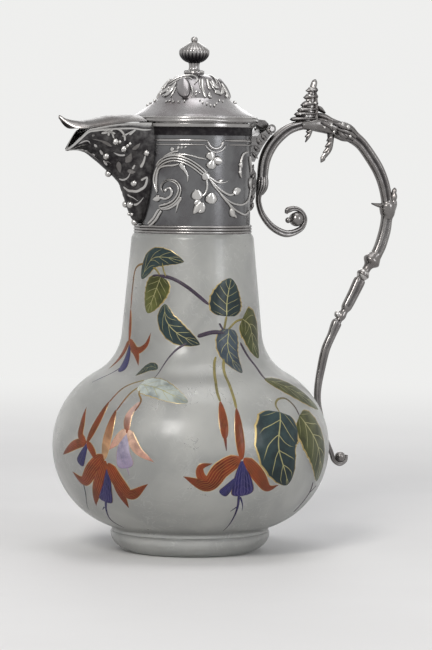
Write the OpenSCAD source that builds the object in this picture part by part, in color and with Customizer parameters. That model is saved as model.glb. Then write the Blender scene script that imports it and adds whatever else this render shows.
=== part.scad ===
// Claret jug: an etched glass body in a silver collar with a beaked spout,
// a hinged domed lid whose tongue covers the spout, and a scrolled stem handle.
// Millimetres. Z is up, the origin is on the jug's axis at the foot's underside,
// the spout points along -X and the handle along +X.

/* [Glass body] */
// Radius of the belly at its widest
belly_r = 76.2; // [60:0.1:92]
// Height of the belly's widest point
belly_z = 57.5; // [50:0.1:66]
// Radius of the arc that rounds the belly
belly_arc_r = 46; // [40:0.1:48]
// Radius of the hollow curve between belly and neck
shoulder_r = 27; // [16:0.5:36]
// Radius of the neck just under the collar
neck_r = 33.4; // [32.6:0.1:36]
// Taper of the neck's side, in degrees
neck_taper = 5.4; // [3:0.1:7]
// Wall thickness of the glass
glass_wall = 3; // [2:0.1:4]
// Radius of the foot's flat underside
foot_r = 34; // [28:0.5:38]
// Radius of the foot's upper edge
foot_edge_r = 43.6; // [40:0.1:44]
// Height of the foot
foot_h = 11; // [9:0.1:12]
// Radius of the waist between foot and belly
foot_waist_r = 42.9; // [40:0.1:43.5]

/* [Collar] */
// Height of the collar's lower edge above the table
collar_z = 174; // [160:0.5:210]
// Height of the collar from its lower edge to its rim
collar_h = 59.6; // [56:0.1:72]
// Outside radius of the collar's sleeve
collar_r = 31.3; // [31:0.1:32.5]
// Thickness of the collar's sheet silver
collar_wall = 1.1; // [0.8:0.1:1.4]
// Thickness of the plaster between sleeve and glass
plaster_t = 1.2; // [0.8:0.1:2]
// How far the glass neck reaches up inside the collar
neck_grip = 38; // [30:0.5:39]
// Height of the reeded ring round the collar's lower edge
base_ring_h = 4.6; // [3.6:0.1:6]
// How far that ring stands out
base_ring_t = 1.0; // [0.6:0.1:1.2]
// How far the top moulding stands out
moulding_t = 0.7; // [0.4:0.1:1.2]
// Height of the collar's rim moulding
rim_h = 6.6; // [5:0.1:8]
// How far the rim's flange stands out
rim_t = 2.1; // [1.5:0.1:2.6]

/* [Spout] */
// How far the beak reaches from the sleeve
spout_reach = 42.6; // [34:0.1:52]
// How far the beak's keel runs down the sleeve
spout_depth = 54.6; // [50:0.1:54.8]
// Half of the beak's width where it leaves the sleeve
spout_half_w = 14; // [11:0.1:16]
// Wall thickness of the beak
spout_wall = 1.3; // [1:0.1:2]
// Radius of a berry on the beak
berry_r = 1.9; // [1.4:0.1:2.4]

/* [Lid] */
// Radius of the lid's rim
lid_r = 35.3; // [34.6:0.1:38]
// Gap between the shut lid and the collar
lid_gap = 0.5; // [0.3:0.1:0.8]
// Height of the reeded ring round the lid
lid_rim_h = 3.1; // [2.4:0.1:4]
// Width of that ring
lid_rim_w = 2.1; // [1.6:0.1:2.6]
// Height of the dome above the lid's lower edge
dome_h = 26.2; // [22:0.1:32]
// Thickness of the dome's sheet
dome_wall = 1; // [0.7:0.1:1.4]
// Gap between the lid's locating ring and the sleeve
bezel_gap = 0.6; // [0.4:0.1:0.9]
// How far the locating ring hangs into the collar
bezel_drop = 2.8; // [1.6:0.1:3.4]
// How far the tongue reaches from the lid's rim
tongue_reach = 42.8; // [36:0.1:52]
// Half of the tongue's width where it leaves the lid
tongue_half_w = 13.2; // [10:0.1:15]
// Thickness of the tongue
tongue_t = 1.1; // [0.8:0.1:1.6]

/* [Finial] */
// Radius of the knob at its widest
knob_r = 8.3; // [6:0.1:10]
// Height of the finial above the dome
finial_h = 20.6; // [17:0.1:25]
// Radius of the finial's base disc
finial_base_r = 5.6; // [4.6:0.1:7]
// Radius of the stud that holds the finial
stud_r = 1.5; // [1:0.1:2]

/* [Hinge] */
// Distance of the hinge pin behind the sleeve
hinge_out = 11.7; // [10:0.1:15]
// Distance of the hinge pin below the collar's rim
hinge_drop = 2.6; // [2:0.1:3.4]
// Radius of the hinge's knuckles
knuckle_r = 2.6; // [2.2:0.1:3]
// Width of the lid's middle knuckle
knuckle_w = 7; // [5:0.1:10]
// Width of each outer knuckle
ear_w = 4.4; // [3:0.1:6]
// Radius of the hinge pin
pin_r = 1.1; // [0.8:0.05:1.4]
// Gap between the pin and a knuckle
pin_fit = 0.05; // [0.02:0.01:0.1]
// Gap between neighbouring knuckles
knuckle_gap = 0.15; // [0.1:0.05:0.4]

/* [Handle] */
// How far the handle's scroll stands off the sleeve
scroll_standoff = 5.9; // [4.5:0.1:9]
// How far the bow reaches out from the back of the scroll
bow_reach = 81; // [70:0.5:98]
// Half thickness of the reeded scroll at its widest
scroll_half_w = 3.4; // [3:0.1:4.2]
// Half thickness of the bow
bow_half_w = 3.3; // [2.6:0.1:3.8]
// Half thickness of the stem
stem_half_w = 3.3; // [2.6:0.1:3.6]
// Distance from the belly to the middle of the stem
stem_gap = 4.4; // [4.2:0.1:8]
// Radius of the boss in the eye of the scroll
scroll_boss_r = 4.1; // [3.8:0.1:4.4]
// Height of the upright crest leaf above the collar's rim
crest_h = 25; // [18:0.1:32]
// Radius of the ball at the handle's tip
tail_ball_r = 3; // [2.4:0.1:4]

/* [Hidden] */

silver = "silver";
dark_silver = "darkgray";
glass = "lightgray";

// Smoothness of turned parts
turned = 96;
arc_step = 6;
cut = 1;

collar_top = collar_z + collar_h;
sleeve_bore_r = collar_r - collar_wall;
grip_r = sleeve_bore_r - plaster_t;
mouth_z = collar_z + neck_grip;
base_ring_r = collar_r + base_ring_t;
moulding_r = collar_r + moulding_t;
rim_r = collar_r + rim_t;
lid_z = collar_top + lid_gap;
dome_top = lid_z + dome_h;
dome_edge_r = lid_r - lid_rim_w;
hinge_x = collar_r + hinge_out;
hinge_z = collar_top - hinge_drop;
scroll_x = collar_r + scroll_standoff;

// ---------- curves ----------

function unit(v) = v / norm(v);

// Points on an arc about c, from angle a to angle b
function arc(c, r, a, b, n) =
    [for (i = [0:n]) c + r * [cos(a + (b - a) * i / n), sin(a + (b - a) * i / n)]];

// Points on a cubic curve between p0 and p3, steered by p1 and p2
function curve(p0, p1, p2, p3, n) =
    [for (i = [0:n]) let (t = i / n, s = 1 - t)
        s*s*s*p0 + 3*s*s*t*p1 + 3*s*t*t*p2 + t*t*t*p3];

// A point between b and c on the smooth curve that runs through a, b, c and d
function through(a, b, c, d, t) =
    0.5 * (2*b + (c - a)*t + (2*a - 5*b + 4*c - d)*t*t + (3*b - a - 3*c + d)*t*t*t);

// The row at place u, counted in rows, on the smooth curve through all rows
function row_at(rows, u) =
    let (last = len(rows) - 1, i = min(floor(u), last - 1))
    through(rows[max(i - 1, 0)], rows[i], rows[i + 1], rows[min(i + 2, last)], u - i);

// All rows with sub - 1 more between each pair
function refine(rows, sub) = [for (i = [0:(len(rows) - 1) * sub]) row_at(rows, i / sub)];

function reversed(list) = [for (i = [len(list) - 1:-1:0]) list[i]];

// ---------- solids from rings ----------

// Triangles of the wall between rings of n points
function wall_faces(count, n) = [
    for (i = [0:count - 2], j = [0:n - 1])
        let (k = (j + 1) % n, a = i*n + j, b = i*n + k, c = (i + 1)*n + k, d = (i + 1)*n + j)
        each [[a, b, c], [a, c, d]]
];

// Triangles of an end whose ring runs out along one side and back along the other
function strip_faces(start, n) = [
    for (j = [0:n/2 - 2])
        let (a = start + j, b = start + j + 1, c = start + n - 2 - j, d = start + n - 1 - j)
        each [[a, b, c], [a, c, d]]
];

function turn_over(faces) = [for (f = faces) reversed(f)];

// A bar through rings that are round outlines
module bar(rings) {
    n = len(rings[0]);
    last = (len(rings) - 1) * n;
    polyhedron(
        points = [for (ring = rings) each ring],
        faces = concat(
            [reversed([for (j = [0:n - 1]) j])],
            wall_faces(len(rings), n),
            [[for (j = [0:n - 1]) last + j]]
        ),
        convexity = 6
    );
}

// A sheet through rings that run out along one face and back along the other
module sheet(rings) {
    n = len(rings[0]);
    polyhedron(
        points = [for (ring = rings) each ring],
        faces = concat(
            turn_over(strip_faces(0, n)),
            wall_faces(len(rings), n),
            strip_faces((len(rings) - 1) * n, n)
        ),
        convexity = 6
    );
}

// ---------- glass ----------

belly_c = [belly_r - belly_arc_r, belly_z];
neck_top = [neck_r, collar_z - 3];
neck_down = [sin(neck_taper), -cos(neck_taper)];
neck_out = [cos(neck_taper), sin(neck_taper)];

// The shoulder's centre, where a circle touches both the belly's arc and the neck's side
shoulder_from = neck_top + shoulder_r * neck_out - belly_c;
shoulder_along = shoulder_from * neck_down;
shoulder_slide = -shoulder_along
    - sqrt(shoulder_along^2 - shoulder_from*shoulder_from + (belly_arc_r + shoulder_r)^2);
shoulder_c = belly_c + shoulder_from + shoulder_slide * neck_down;
to_shoulder = unit(shoulder_c - belly_c);
shoulder_angle = atan2(to_shoulder[1], to_shoulder[0]);

// Angle on the belly's arc at radius r below its middle
function belly_angle(r) = -acos((r - belly_c[0]) / belly_arc_r);

// The glass's side from foot to collar, moved inward by inset
function glass_side(inset, low_angle) = concat(
    arc(belly_c, belly_arc_r - inset, low_angle, shoulder_angle,
        ceil((shoulder_angle - low_angle) / arc_step)),
    arc(shoulder_c, shoulder_r + inset, shoulder_angle + 180, 180 + neck_taper, 9)
);

module glass_body() {
    lip = glass_wall / 2;
    floor_z = belly_z - belly_arc_r + glass_wall;
    low = belly_angle(foot_edge_r + 0.4);
    outside = concat(
        [[0, 0]],
        curve([foot_r, 0], [foot_r + 5, 1.6], [foot_edge_r, foot_h*0.45],
              [foot_edge_r, foot_h - 0.8], 6),
        [[foot_waist_r, foot_h], [foot_waist_r, foot_h + 1.2]],
        glass_side(0, low),
        curve(neck_top, neck_top - neck_down, [base_ring_r, collar_z - 0.6],
              [base_ring_r - 0.4, collar_z], 4),
        [[grip_r, collar_z]]
    );
    mouth = arc([grip_r - lip, mouth_z - lip], lip, 0, 180, 6);
    inside = concat(
        [[grip_r - glass_wall, collar_z - 6]],
        reversed(glass_side(glass_wall, -90)),
        [[0, floor_z]]
    );
    color(glass)
    rotate_extrude($fn = turned)
    polygon(concat(outside, mouth, inside));
}

// ---------- collar ----------

module tube(r_out, r_in, z0, z1) {
    translate([0, 0, z0])
    difference() {
        cylinder(r = r_out, h = z1 - z0, $fn = turned);
        translate([0, 0, -cut]) cylinder(r = r_in, h = z1 - z0 + 2*cut, $fn = turned);
    }
}

module neck_plaster() {
    color("ivory")
    tube(sleeve_bore_r, grip_r, collar_z, mouth_z - glass_wall);
}

// Half width and floor height of the way from the collar into the spout
pour_half_w = spout_half_w - 3;
pour_z = mouth_z + 5;

// The way from the collar into the spout, open at the top
module pour_way(half_w, floor_z) {
    deep = collar_r + rim_t + cut;
    translate([-deep, -half_w, floor_z + half_w])
        cube([deep, 2*half_w, collar_top + cut - floor_z - half_w]);
    translate([0, 0, floor_z + half_w])
        rotate([0, -90, 0])
        cylinder(r = half_w, h = deep, $fn = turned);
}

module collar_sleeve() {
    color(silver)
    difference() {
        tube(collar_r, sleeve_bore_r, collar_z, collar_top);
        pour_way(pour_half_w, pour_z);
    }
}

module collar_base_ring() {
    reeds = 3;
    reed_r = base_ring_h / reeds / 2;
    color(silver)
    rotate_extrude($fn = turned)
    intersection() {
        union() {
            translate([collar_r, collar_z]) square([base_ring_t - reed_r*0.7, base_ring_h]);
            for (i = [0:reeds - 1])
                translate([base_ring_r - reed_r, collar_z + reed_r*(2*i + 1)])
                circle(r = reed_r, $fn = 24);
        }
        translate([collar_r, collar_z]) square([base_ring_t + cut, base_ring_h]);
    }
}

// A reed across the collar at height z that dips round a half circle at the middle
module dipped_reed(z, half_h, dip_z, dip_r) {
    difference() {
        translate([-collar_r - cut, z - half_h]) square([2*collar_r + 2*cut, 2*half_h]);
        translate([0, dip_z]) circle(r = dip_r, $fn = 48);
    }
    intersection() {
        translate([0, dip_z])
        difference() {
            circle(r = dip_r + half_h, $fn = 48);
            circle(r = dip_r - half_h, $fn = 48);
        }
        translate([-2*dip_r, z + half_h - 3*dip_r]) square([4*dip_r, 3*dip_r]);
    }
}

// Height of the moulding's upper line, which is the centre of its dips
moulding_z = collar_top - 9.3;

module collar_top_moulding() {
    reach = collar_r + moulding_t + cut;
    color(silver)
    difference() {
        intersection() {
            tube(moulding_r, collar_r, collar_top - 20, collar_top - rim_h);
            translate([0, reach, 0])
                rotate([90, 0, 0])
                linear_extrude(height = 2*reach) {
                    dipped_reed(moulding_z, 0.6, moulding_z, 4.4);
                    dipped_reed(moulding_z - 2.3, 0.45, moulding_z, 6.3);
                }
        }
        spout_block();
    }
}

module collar_rim() {
    flange_h = 2.1;
    hollow = curve(
        [rim_r - 0.2, collar_top - flange_h], [collar_r + 0.9, collar_top - flange_h],
        [collar_r + 0.5, collar_top - rim_h*0.6], [moulding_r, collar_top - rim_h], 6);
    color(silver)
    difference() {
        rotate_extrude($fn = turned)
        polygon(concat(
            [[collar_r, collar_top - rim_h], [collar_r, collar_top], [rim_r - 0.3, collar_top],
             [rim_r, collar_top - 0.3], [rim_r, collar_top - flange_h + 0.2]],
            hollow));
        translate([-rim_r - cut, -spout_half_w, collar_top - rim_h - cut])
            cube([rim_r + cut, 2*spout_half_w, rim_h + 2*cut]);
    }
}

// ---------- spout ----------

// Rows along the beak from sleeve to tip, as shares: how far out, how far its keel
// and its rim lie below the collar's top, and its half width
spout_rows = refine([
    [0,     1,     0,     1],
    [0.077, 0.978, 0,     0.985],
    [0.148, 0.868, 0.001, 0.965],
    [0.239, 0.66,  0.003, 0.93],
    [0.315, 0.57,  0.008, 0.9],
    [0.486, 0.452, 0.024, 0.83],
    [0.692, 0.322, 0.057, 0.72],
    [0.779, 0.289, 0.075, 0.65],
    [0.847, 0.278, 0.13,  0.56],
    [0.915, 0.278, 0.198, 0.4],
    [0.965, 0.282, 0.243, 0.24],
    [1,     0.286, 0.268, 0.1]
], 2);
spout_turns = 14;

// A point of the beak at a row and an angle from its keel, moved inward by inset
function spout_point(row, angle, inset) =
    let (half_w = row[3] * spout_half_w,
         t = min(inset, 0.6 * half_w),
         rim_z = collar_top - row[2] * spout_depth,
         keel_z = min(collar_top - row[1] * spout_depth + t, rim_z - 0.3),
         y = (half_w - t) * sin(angle),
         bulge = (collar_r - sqrt(collar_r^2 - y^2)) * (1 - row[0])^2)
    [-(collar_r + row[0] * spout_reach - bulge), y, rim_z - (rim_z - keel_z) * cos(angle)];

function spout_turn(j) = -90 + 180 * j / spout_turns;

function spout_ring(row, inset) = concat(
    [for (j = [0:spout_turns]) spout_point(row, spout_turn(j), 0)],
    [for (j = [spout_turns:-1:0]) spout_point(row, spout_turn(j), inset)]
);

module spout_beak() {
    color(dark_silver)
    sheet([for (row = spout_rows) spout_ring(row, spout_wall)]);
}

// The beak's outside as one solid, up to its rim
module spout_block() {
    bar([for (row = spout_rows) [for (j = [0:spout_turns]) spout_point(row, spout_turn(j), 0)]]);
}

// Berries on the beak: place along the rows and angle from the keel, on both sides
spout_berry_places = [[2.3, 72], [4.3, 15.5], [4.7, 41.5], [8.4, 62], [9.6, 68], [10.4, 40]];

module spout_berries() {
    keel_berry = spout_point(row_at(spout_rows, 9.4), 0, 0);
    low_berry = spout_point(row_at(spout_rows, 1.7), 0, 0);
    color(silver)
    difference() {
        union() {
            for (place = spout_berry_places, side = [-1, 1])
                translate(spout_point(row_at(spout_rows, place[0]), side * place[1], 0))
                sphere(r = berry_r, $fn = 20);
            translate(keel_berry - [0, 0, berry_r/2]) sphere(r = berry_r, $fn = 20);
            translate(low_berry) sphere(r = berry_r, $fn = 20);
        }
        spout_block();
    }
}

// ---------- lid ----------

apron_r = dome_edge_r - 12.4;
apron_z = lid_z + 12.1;
crown_r = finial_base_r - 0.4;

// The dome's section, moved inward by inset: a stepped edge, an apron and a bell
function dome_side(inset) = concat(
    curve([dome_edge_r - inset, lid_z + 3.4], [dome_edge_r - 2 - inset, lid_z + 5],
          [apron_r + 5 - inset, apron_z - 4.4 - inset*0.7], [apron_r - inset*0.5, apron_z - inset], 7),
    curve([apron_r - 1 - inset*0.9, apron_z + 0.8 - inset*0.5], [apron_r - 3.2 - inset, apron_z + 6],
          [crown_r + 8 - inset*0.5, dome_top - 1 - inset], [crown_r, dome_top - inset], 9)
);

module lid_dome() {
    hole_r = stud_r + 0.1;
    color(silver)
    rotate_extrude($fn = turned)
    polygon(concat(
        [[dome_edge_r - dome_wall, lid_z], [dome_edge_r, lid_z]],
        dome_side(0),
        [[hole_r, dome_top], [hole_r, dome_top - dome_wall]],
        reversed(dome_side(dome_wall))
    ));
}

module lid_rim() {
    reed_r = lid_rim_h / 4;
    color(silver)
    rotate_extrude($fn = turned)
    intersection() {
        union() {
            translate([dome_edge_r, lid_z]) square([lid_rim_w - reed_r, lid_rim_h]);
            translate([lid_r - reed_r, lid_z + reed_r]) circle(r = reed_r, $fn = 24);
            translate([lid_r - reed_r*1.5, lid_z + 3*reed_r]) circle(r = reed_r, $fn = 24);
        }
        translate([dome_edge_r, lid_z]) square([lid_rim_w + cut, lid_rim_h]);
    }
}

module lid_locating_ring() {
    skirt_r = sleeve_bore_r - bezel_gap;
    skirt_t = 1;
    color(silver)
    difference() {
        union() {
            tube(dome_edge_r - dome_wall, skirt_r - skirt_t, lid_z, lid_z + 1);
            tube(skirt_r, skirt_r - skirt_t, lid_z - bezel_drop, lid_z + 0.5);
        }
        translate([-skirt_r - cut, -pour_half_w - 1, lid_z - bezel_drop - cut])
            cube([skirt_r + cut, 2*pour_half_w + 2, bezel_drop + cut]);
    }
}

// Rows along the tongue from lid to tip: share of its reach, height of its edge from the
// lid's lower edge, height of its arch and share of its half width
tongue_rows = refine([
    [0,     0.2,  2.4, 1],
    [0.11,  0,    2.7, 1],
    [0.23,  -0.5, 3,   0.98],
    [0.37,  -1.3, 3.4, 0.92],
    [0.48,  -2.3, 3.5, 0.86],
    [0.59,  -3.1, 3.2, 0.78],
    [0.69,  -3.9, 3.2, 0.68],
    [0.79,  -4.2, 3.5, 0.55],
    [0.86,  -3.5, 3.2, 0.41],
    [0.93,  -1.5, 2.1, 0.24],
    [0.975, 0.5,  1.2, 0.12],
    [1,     1.4,  0.6, 0.05]
], 2);
tongue_turns = 10;

tongue_root_r = lid_r - 1;

function tongue_point(row, across, lift) =
    let (y = across * row[3] * tongue_half_w,
         bulge = (tongue_root_r - sqrt(tongue_root_r^2 - y^2)) * (1 - row[0])^3)
    [-(tongue_root_r + row[0] * (tongue_reach + 1) - bulge), y,
     lid_z + row[1] + row[2] * (1 - across^2) + lift * min(tongue_t, 0.3 + row[3] * tongue_half_w)];

function tongue_across(j) = -1 + 2 * j / tongue_turns;

function tongue_ring(row) = concat(
    [for (j = [0:tongue_turns]) tongue_point(row, tongue_across(j), 0)],
    [for (j = [tongue_turns:-1:0]) tongue_point(row, tongue_across(j), 1)]
);

module lid_tongue() {
    color("rosybrown")
    difference() {
        sheet([for (row = tongue_rows) tongue_ring(row)]);
        lid_rim();
    }
}

// ---------- finial ----------

module finial_base() {
    step = 1.5;
    color(silver)
    rotate_extrude($fn = turned)
    polygon([
        [stud_r + 0.1, dome_top], [finial_base_r - 0.3, dome_top],
        [finial_base_r, dome_top + 0.4], [finial_base_r, dome_top + step - 0.3],
        [finial_base_r - 0.3, dome_top + step], [finial_base_r*0.72, dome_top + step],
        [finial_base_r*0.66, dome_top + step + 0.7], [stud_r + 0.1, dome_top + step + 0.7]
    ]);
}

module finial_knob() {
    foot = dome_top + 2.2;
    tip = dome_top + finial_h;
    knob_z = tip - 8;
    neck = 2.7;
    tip_ball_r = 1.9;
    stud_end = dome_top - dome_wall - 4.2;
    color(silver)
    rotate_extrude($fn = turned)
    polygon(concat(
        [[0, stud_end], [stud_r - 0.3, stud_end], [stud_r, stud_end + 0.3], [stud_r, foot]],
        curve([neck + 0.6, foot], [neck, foot + 0.8], [neck, foot + 2.6], [neck + 0.5, foot + 4], 4),
        curve([neck + 1.2, foot + 4.2], [knob_r*0.75, foot + 4.8], [knob_r, knob_z - 3],
              [knob_r, knob_z], 6),
        curve([knob_r, knob_z + 0.4], [knob_r, knob_z + 2.8], [knob_r*0.75, knob_z + 3.8],
              [tip_ball_r + 0.9, tip - 3.6], 6),
        arc([0, tip - tip_ball_r], tip_ball_r, -40, 90, 8)
    ));
}

module finial_washer() {
    color(dark_silver)
    tube(stud_r + 2.2, stud_r + 0.1, dome_top - dome_wall - 0.8, dome_top - dome_wall);
}

module finial_nut() {
    across_flats = 5.5;
    color("goldenrod")
    translate([0, 0, dome_top - dome_wall - 3.2])
    difference() {
        cylinder(r = across_flats / sqrt(3), h = 2.4, $fn = 6);
        translate([0, 0, -cut]) cylinder(r = stud_r + 0.02, h = 2.4 + 2*cut, $fn = turned);
    }
}

// ---------- hinge ----------

// A plate outline in the plane of the handle, made as wide as w
module side_plate(w) {
    rotate([90, 0, 0])
    linear_extrude(height = w, center = true)
    children();
}

// A cylinder of width w on the hinge's axis
module on_hinge(r, w) {
    translate([hinge_x, 0, hinge_z])
    rotate([90, 0, 0])
    cylinder(r = r, h = w, center = true, $fn = turned);
}

hinge_half = knuckle_w/2 + knuckle_gap + ear_w;

module lid_hinge_leaf() {
    root = lid_r - 1.2;
    color(silver)
    difference() {
        union() {
            on_hinge(knuckle_r, knuckle_w);
            side_plate(knuckle_w)
            polygon([
                [root, lid_z + 0.2], [root, lid_z + 2.4], [hinge_x - 2, lid_z + 1.6],
                [hinge_x + knuckle_r*0.6, hinge_z + knuckle_r*0.6],
                [hinge_x - knuckle_r*0.6, hinge_z - knuckle_r*0.2]
            ]);
        }
        lid_rim();
        on_hinge(pin_r + pin_fit, 3*knuckle_w);
    }
}

module hinge_bracket() {
    inner = knuckle_w + 2*knuckle_gap;
    seat_top = collar_top - rim_h;
    seat_low = moulding_z - 3.4;
    color(dark_silver)
    difference() {
        union() {
            on_hinge(knuckle_r, 2*hinge_half);
            side_plate(2*hinge_half)
            polygon([
                [collar_r - 2, seat_low - 7], [collar_r - 2, seat_top], [rim_r + 0.8, seat_top],
                [hinge_x - knuckle_r*0.6, hinge_z + knuckle_r*0.2],
                [hinge_x + knuckle_r*0.3, hinge_z - knuckle_r*0.6],
                [hinge_x - 5, hinge_z - 9.2], [collar_r + 1.6, seat_low - 8]
            ]);
        }
        cylinder(r = collar_r, h = seat_low, $fn = turned);
        translate([0, 0, seat_low]) cylinder(r = moulding_r, h = lid_z - seat_low, $fn = turned);
        on_hinge(knuckle_r + 0.4, inner);
        on_hinge(pin_r + 0.02, 3*hinge_half);
    }
}

module hinge_pin() {
    head = 0.8;
    color(silver)
    union() {
        on_hinge(pin_r, 2*hinge_half);
        for (side = [-90, 90])
            translate([hinge_x, 0, hinge_z])
            rotate([side, 0, 0])
            translate([0, 0, hinge_half])
            cylinder(r1 = pin_r + 0.7, r2 = pin_r + 0.2, h = head, $fn = turned);
    }
}

// ---------- handle ----------

// The handle is one line in the XZ plane, cut into cast pieces that meet face to face.
// A point is placed from the back of the scroll at the collar's top, or from the belly,
// or between the two: hang is 0 at the collar and 1 at the belly.
// Each row ends with its half thickness in the plane and across it.
function handle_row(dx, dz, hang, in_plane, across) = [
    (1 - hang)*(scroll_x + dx) + hang*(belly_r + stem_gap + dx),
    (1 - hang)*(collar_top + dz) + hang*(belly_z + dz),
    in_plane, across
];

sw = scroll_half_w;
bw = bow_half_w;
st = stem_half_w;

tail_rows = [
    handle_row(18.6, -49.2, 0, 0.8, 0.8),
    handle_row(19.8, -47.2, 0, 1.7, 1.8),
    handle_row(24, -46.3, 0, 1.4, 1.8),
    handle_row(28.2, -48.4, 0, 1.2, 1.8),
    handle_row(30, -52.7, 0, 1.3, 1.9),
    handle_row(27.2, -57.7, 0, 1.6, 2.1),
    handle_row(19, -60.2, 0, 2.1, 2.3),
    handle_row(10.6, -56.8, 0, 2, 2.3),
    handle_row(4.4, -50, 0, 1.7, 2.2),
    handle_row(1.9, -43.4, 0, 1.5, 2.2),
    handle_row(1.9, -39.2, 0, 1.6, 2.3)
];
bud_rows = [
    handle_row(2.6, -37.3, 0, sw - 0.8, 2.9),
    handle_row(3.5, -34.8, 0, sw, 3.7),
    handle_row(4, -31.8, 0, sw + 0.1, 3.6),
    handle_row(4.1, -29.2, 0, sw - 0.3, 3.1)
];
band_rows = [
    handle_row(4.3, -25.8, 0, sw - 0.2, 3),
    handle_row(5.2, -20.2, 0, sw - 0.1, 3),
    handle_row(7.6, -14.3, 0, sw, 3),
    handle_row(12, -8.4, 0, sw - 0.1, 3),
    handle_row(19.2, -2.8, 0, sw - 0.4, 2.9),
    handle_row(27, -0.3, 0, sw - 0.7, 2.8)
];

// Where the saddle and the binding lie, as shares of the bow's reach
function saddle_row(share, dz, in_plane, across) =
    handle_row(share * bow_reach, dz, 0, in_plane, across);

crest_rows = [
    saddle_row(0.395, 0, 3.2, 3.4),
    saddle_row(0.457, 0.2, 4.2, 3.8),
    saddle_row(0.519, -0.2, 4.6, 3.8),
    saddle_row(0.583, -1.4, 4.6, 3.8)
];
binding_rows = [
    saddle_row(0.61, -2.6, 4.9, 4.4),
    saddle_row(0.649, -3.4, 5.4, 4.8),
    saddle_row(0.691, -4.6, 5, 4.4),
    saddle_row(0.731, -6.7, bw + 0.6, 3.7)
];
bow_rows = [
    handle_row(bow_reach - 16.2, -11.2, 0, bw + 0.2, bw),
    handle_row(bow_reach - 9, -20.4, 0, bw + 0.2, bw),
    handle_row(bow_reach - 5, -27.2, 0, bw + 0.1, bw),
    handle_row(bow_reach - 2.3, -34.4, 0, bw, bw),
    handle_row(bow_reach - 0.8, -41.8, 0, bw - 0.1, bw - 0.1)
];
leaf_collar_rows = [
    handle_row(bow_reach - 0.4, -44, 0, bw + 1.1, bw + 1),
    handle_row(bow_reach - 0.2, -46.6, 0, bw + 1.3, bw + 1.1),
    handle_row(bow_reach - 0.3, -49.4, 0, st + 0.8, st + 0.7),
    handle_row(bow_reach - 0.7, -52, 0, st, st)
];
stem_upper_rows = [
    handle_row(bow_reach - 1.7, -58.6, 0, st + 0.1, st),
    handle_row(bow_reach - 4.2, -66.6, 0, st + 0.1, st),
    handle_row(bow_reach - 6.6, -71.6, 0, st, st)
];
knot_upper_rows = [
    handle_row(bow_reach - 7.9, -73.4, 0, st + 0.6, st + 0.4),
    handle_row(bow_reach - 9.9, -76, 0, st + 1.7, st + 1.2),
    handle_row(bow_reach - 11.6, -78.4, 0, st - 0.6, st - 0.6),
    handle_row(bow_reach - 13.3, -80.9, 0, st - 0.9, st - 0.9),
    handle_row(bow_reach - 14.9, -83.2, 0, st + 0.4, st + 0.3),
    handle_row(bow_reach - 16.2, -85.3, 0, st - 0.8, st - 0.8)
];
stem_middle_rows = [
    handle_row(bow_reach - 17.2, -87, 0, st + 0.1, st - 0.1),
    handle_row(bow_reach - 21.2, -94.8, 0, st - 0.1, st - 0.2),
    handle_row(bow_reach - 24.8, -101.2, 0, st - 0.3, st - 0.4)
];
knot_lower_rows = [
    handle_row(bow_reach - 26.2, -103.6, 0, st - 1.2, st - 1.2),
    handle_row(bow_reach - 27.9, -106.2, 0, st - 0.8, st - 0.8),
    handle_row(bow_reach - 29.6, -108.5, 0, st - 1.3, st - 1.3)
];
stem_lower_rows = [
    handle_row(bow_reach - 31, -110.4, 0, st - 0.3, st - 0.5),
    handle_row(25.4, -29, 0.5, st - 0.8, st - 0.8),
    handle_row(6.9, 25.6, 0.85, st - 0.8, st - 0.8),
    handle_row(-1.8, 43.7, 1, st - 0.9, st - 0.9),
    handle_row(-4.2, 31, 1, st - 1.2, st - 1.2),
    handle_row(-4.3, 22, 1, st - 1.4, st - 1.4),
    handle_row(-2.1, 12.5, 1, st - 1.6, st - 1.5),
    handle_row(0.4, 2.5, 1, st - 1.8, st - 1.7),
    handle_row(4.2, -6.1, 1, st - 2, st - 1.8),
    handle_row(6, -10.8, 1, st - 2.1, st - 1.9),
    handle_row(9.6, -13, 1, st - 2.1, st - 2),
    handle_row(13, -11.3, 1, st - 2.2, st - 2.1),
    handle_row(13.8, -8, 1, st - 2.5, st - 2.4)
];

handle_parts = [tail_rows, bud_rows, band_rows, crest_rows, binding_rows, bow_rows,
    leaf_collar_rows, stem_upper_rows, knot_upper_rows, stem_middle_rows,
    knot_lower_rows, stem_lower_rows];
handle_steps = 3;
handle_rows = refine([for (part = handle_parts) each part], handle_steps);

// Number of rows in the parts before part k
function rows_before(k) = k <= 0 ? 0 : len(handle_parts[k - 1]) + rows_before(k - 1);

function handle_normal(i) =
    let (a = handle_rows[max(i - 1, 0)], b = handle_rows[min(i + 1, len(handle_rows) - 1)],
         along = unit([b[0] - a[0], b[1] - a[1]]))
    [-along[1], along[0]];

// Outline of the handle at row i; groove hollows its two faces between edge reeds
function handle_ring(i, sides, groove) =
    let (row = handle_rows[i], n = handle_normal(i))
    [for (j = [0:sides - 1])
        let (a = 360 * j / sides,
             u = row[2] * cos(a),
             v = row[3] * sin(a) * (1 - groove * (1 - abs(cos(a)))^2))
        [row[0] + n[0]*u, v, row[1] + n[1]*u]];

// Cast piece k of the handle
module handle_piece(k, sides, groove = 0) {
    first = max(rows_before(k) - 1, 0) * handle_steps;
    last = (rows_before(k + 1) - 1) * handle_steps;
    bar([for (i = [first:last]) handle_ring(i, sides, groove)]);
}

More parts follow.
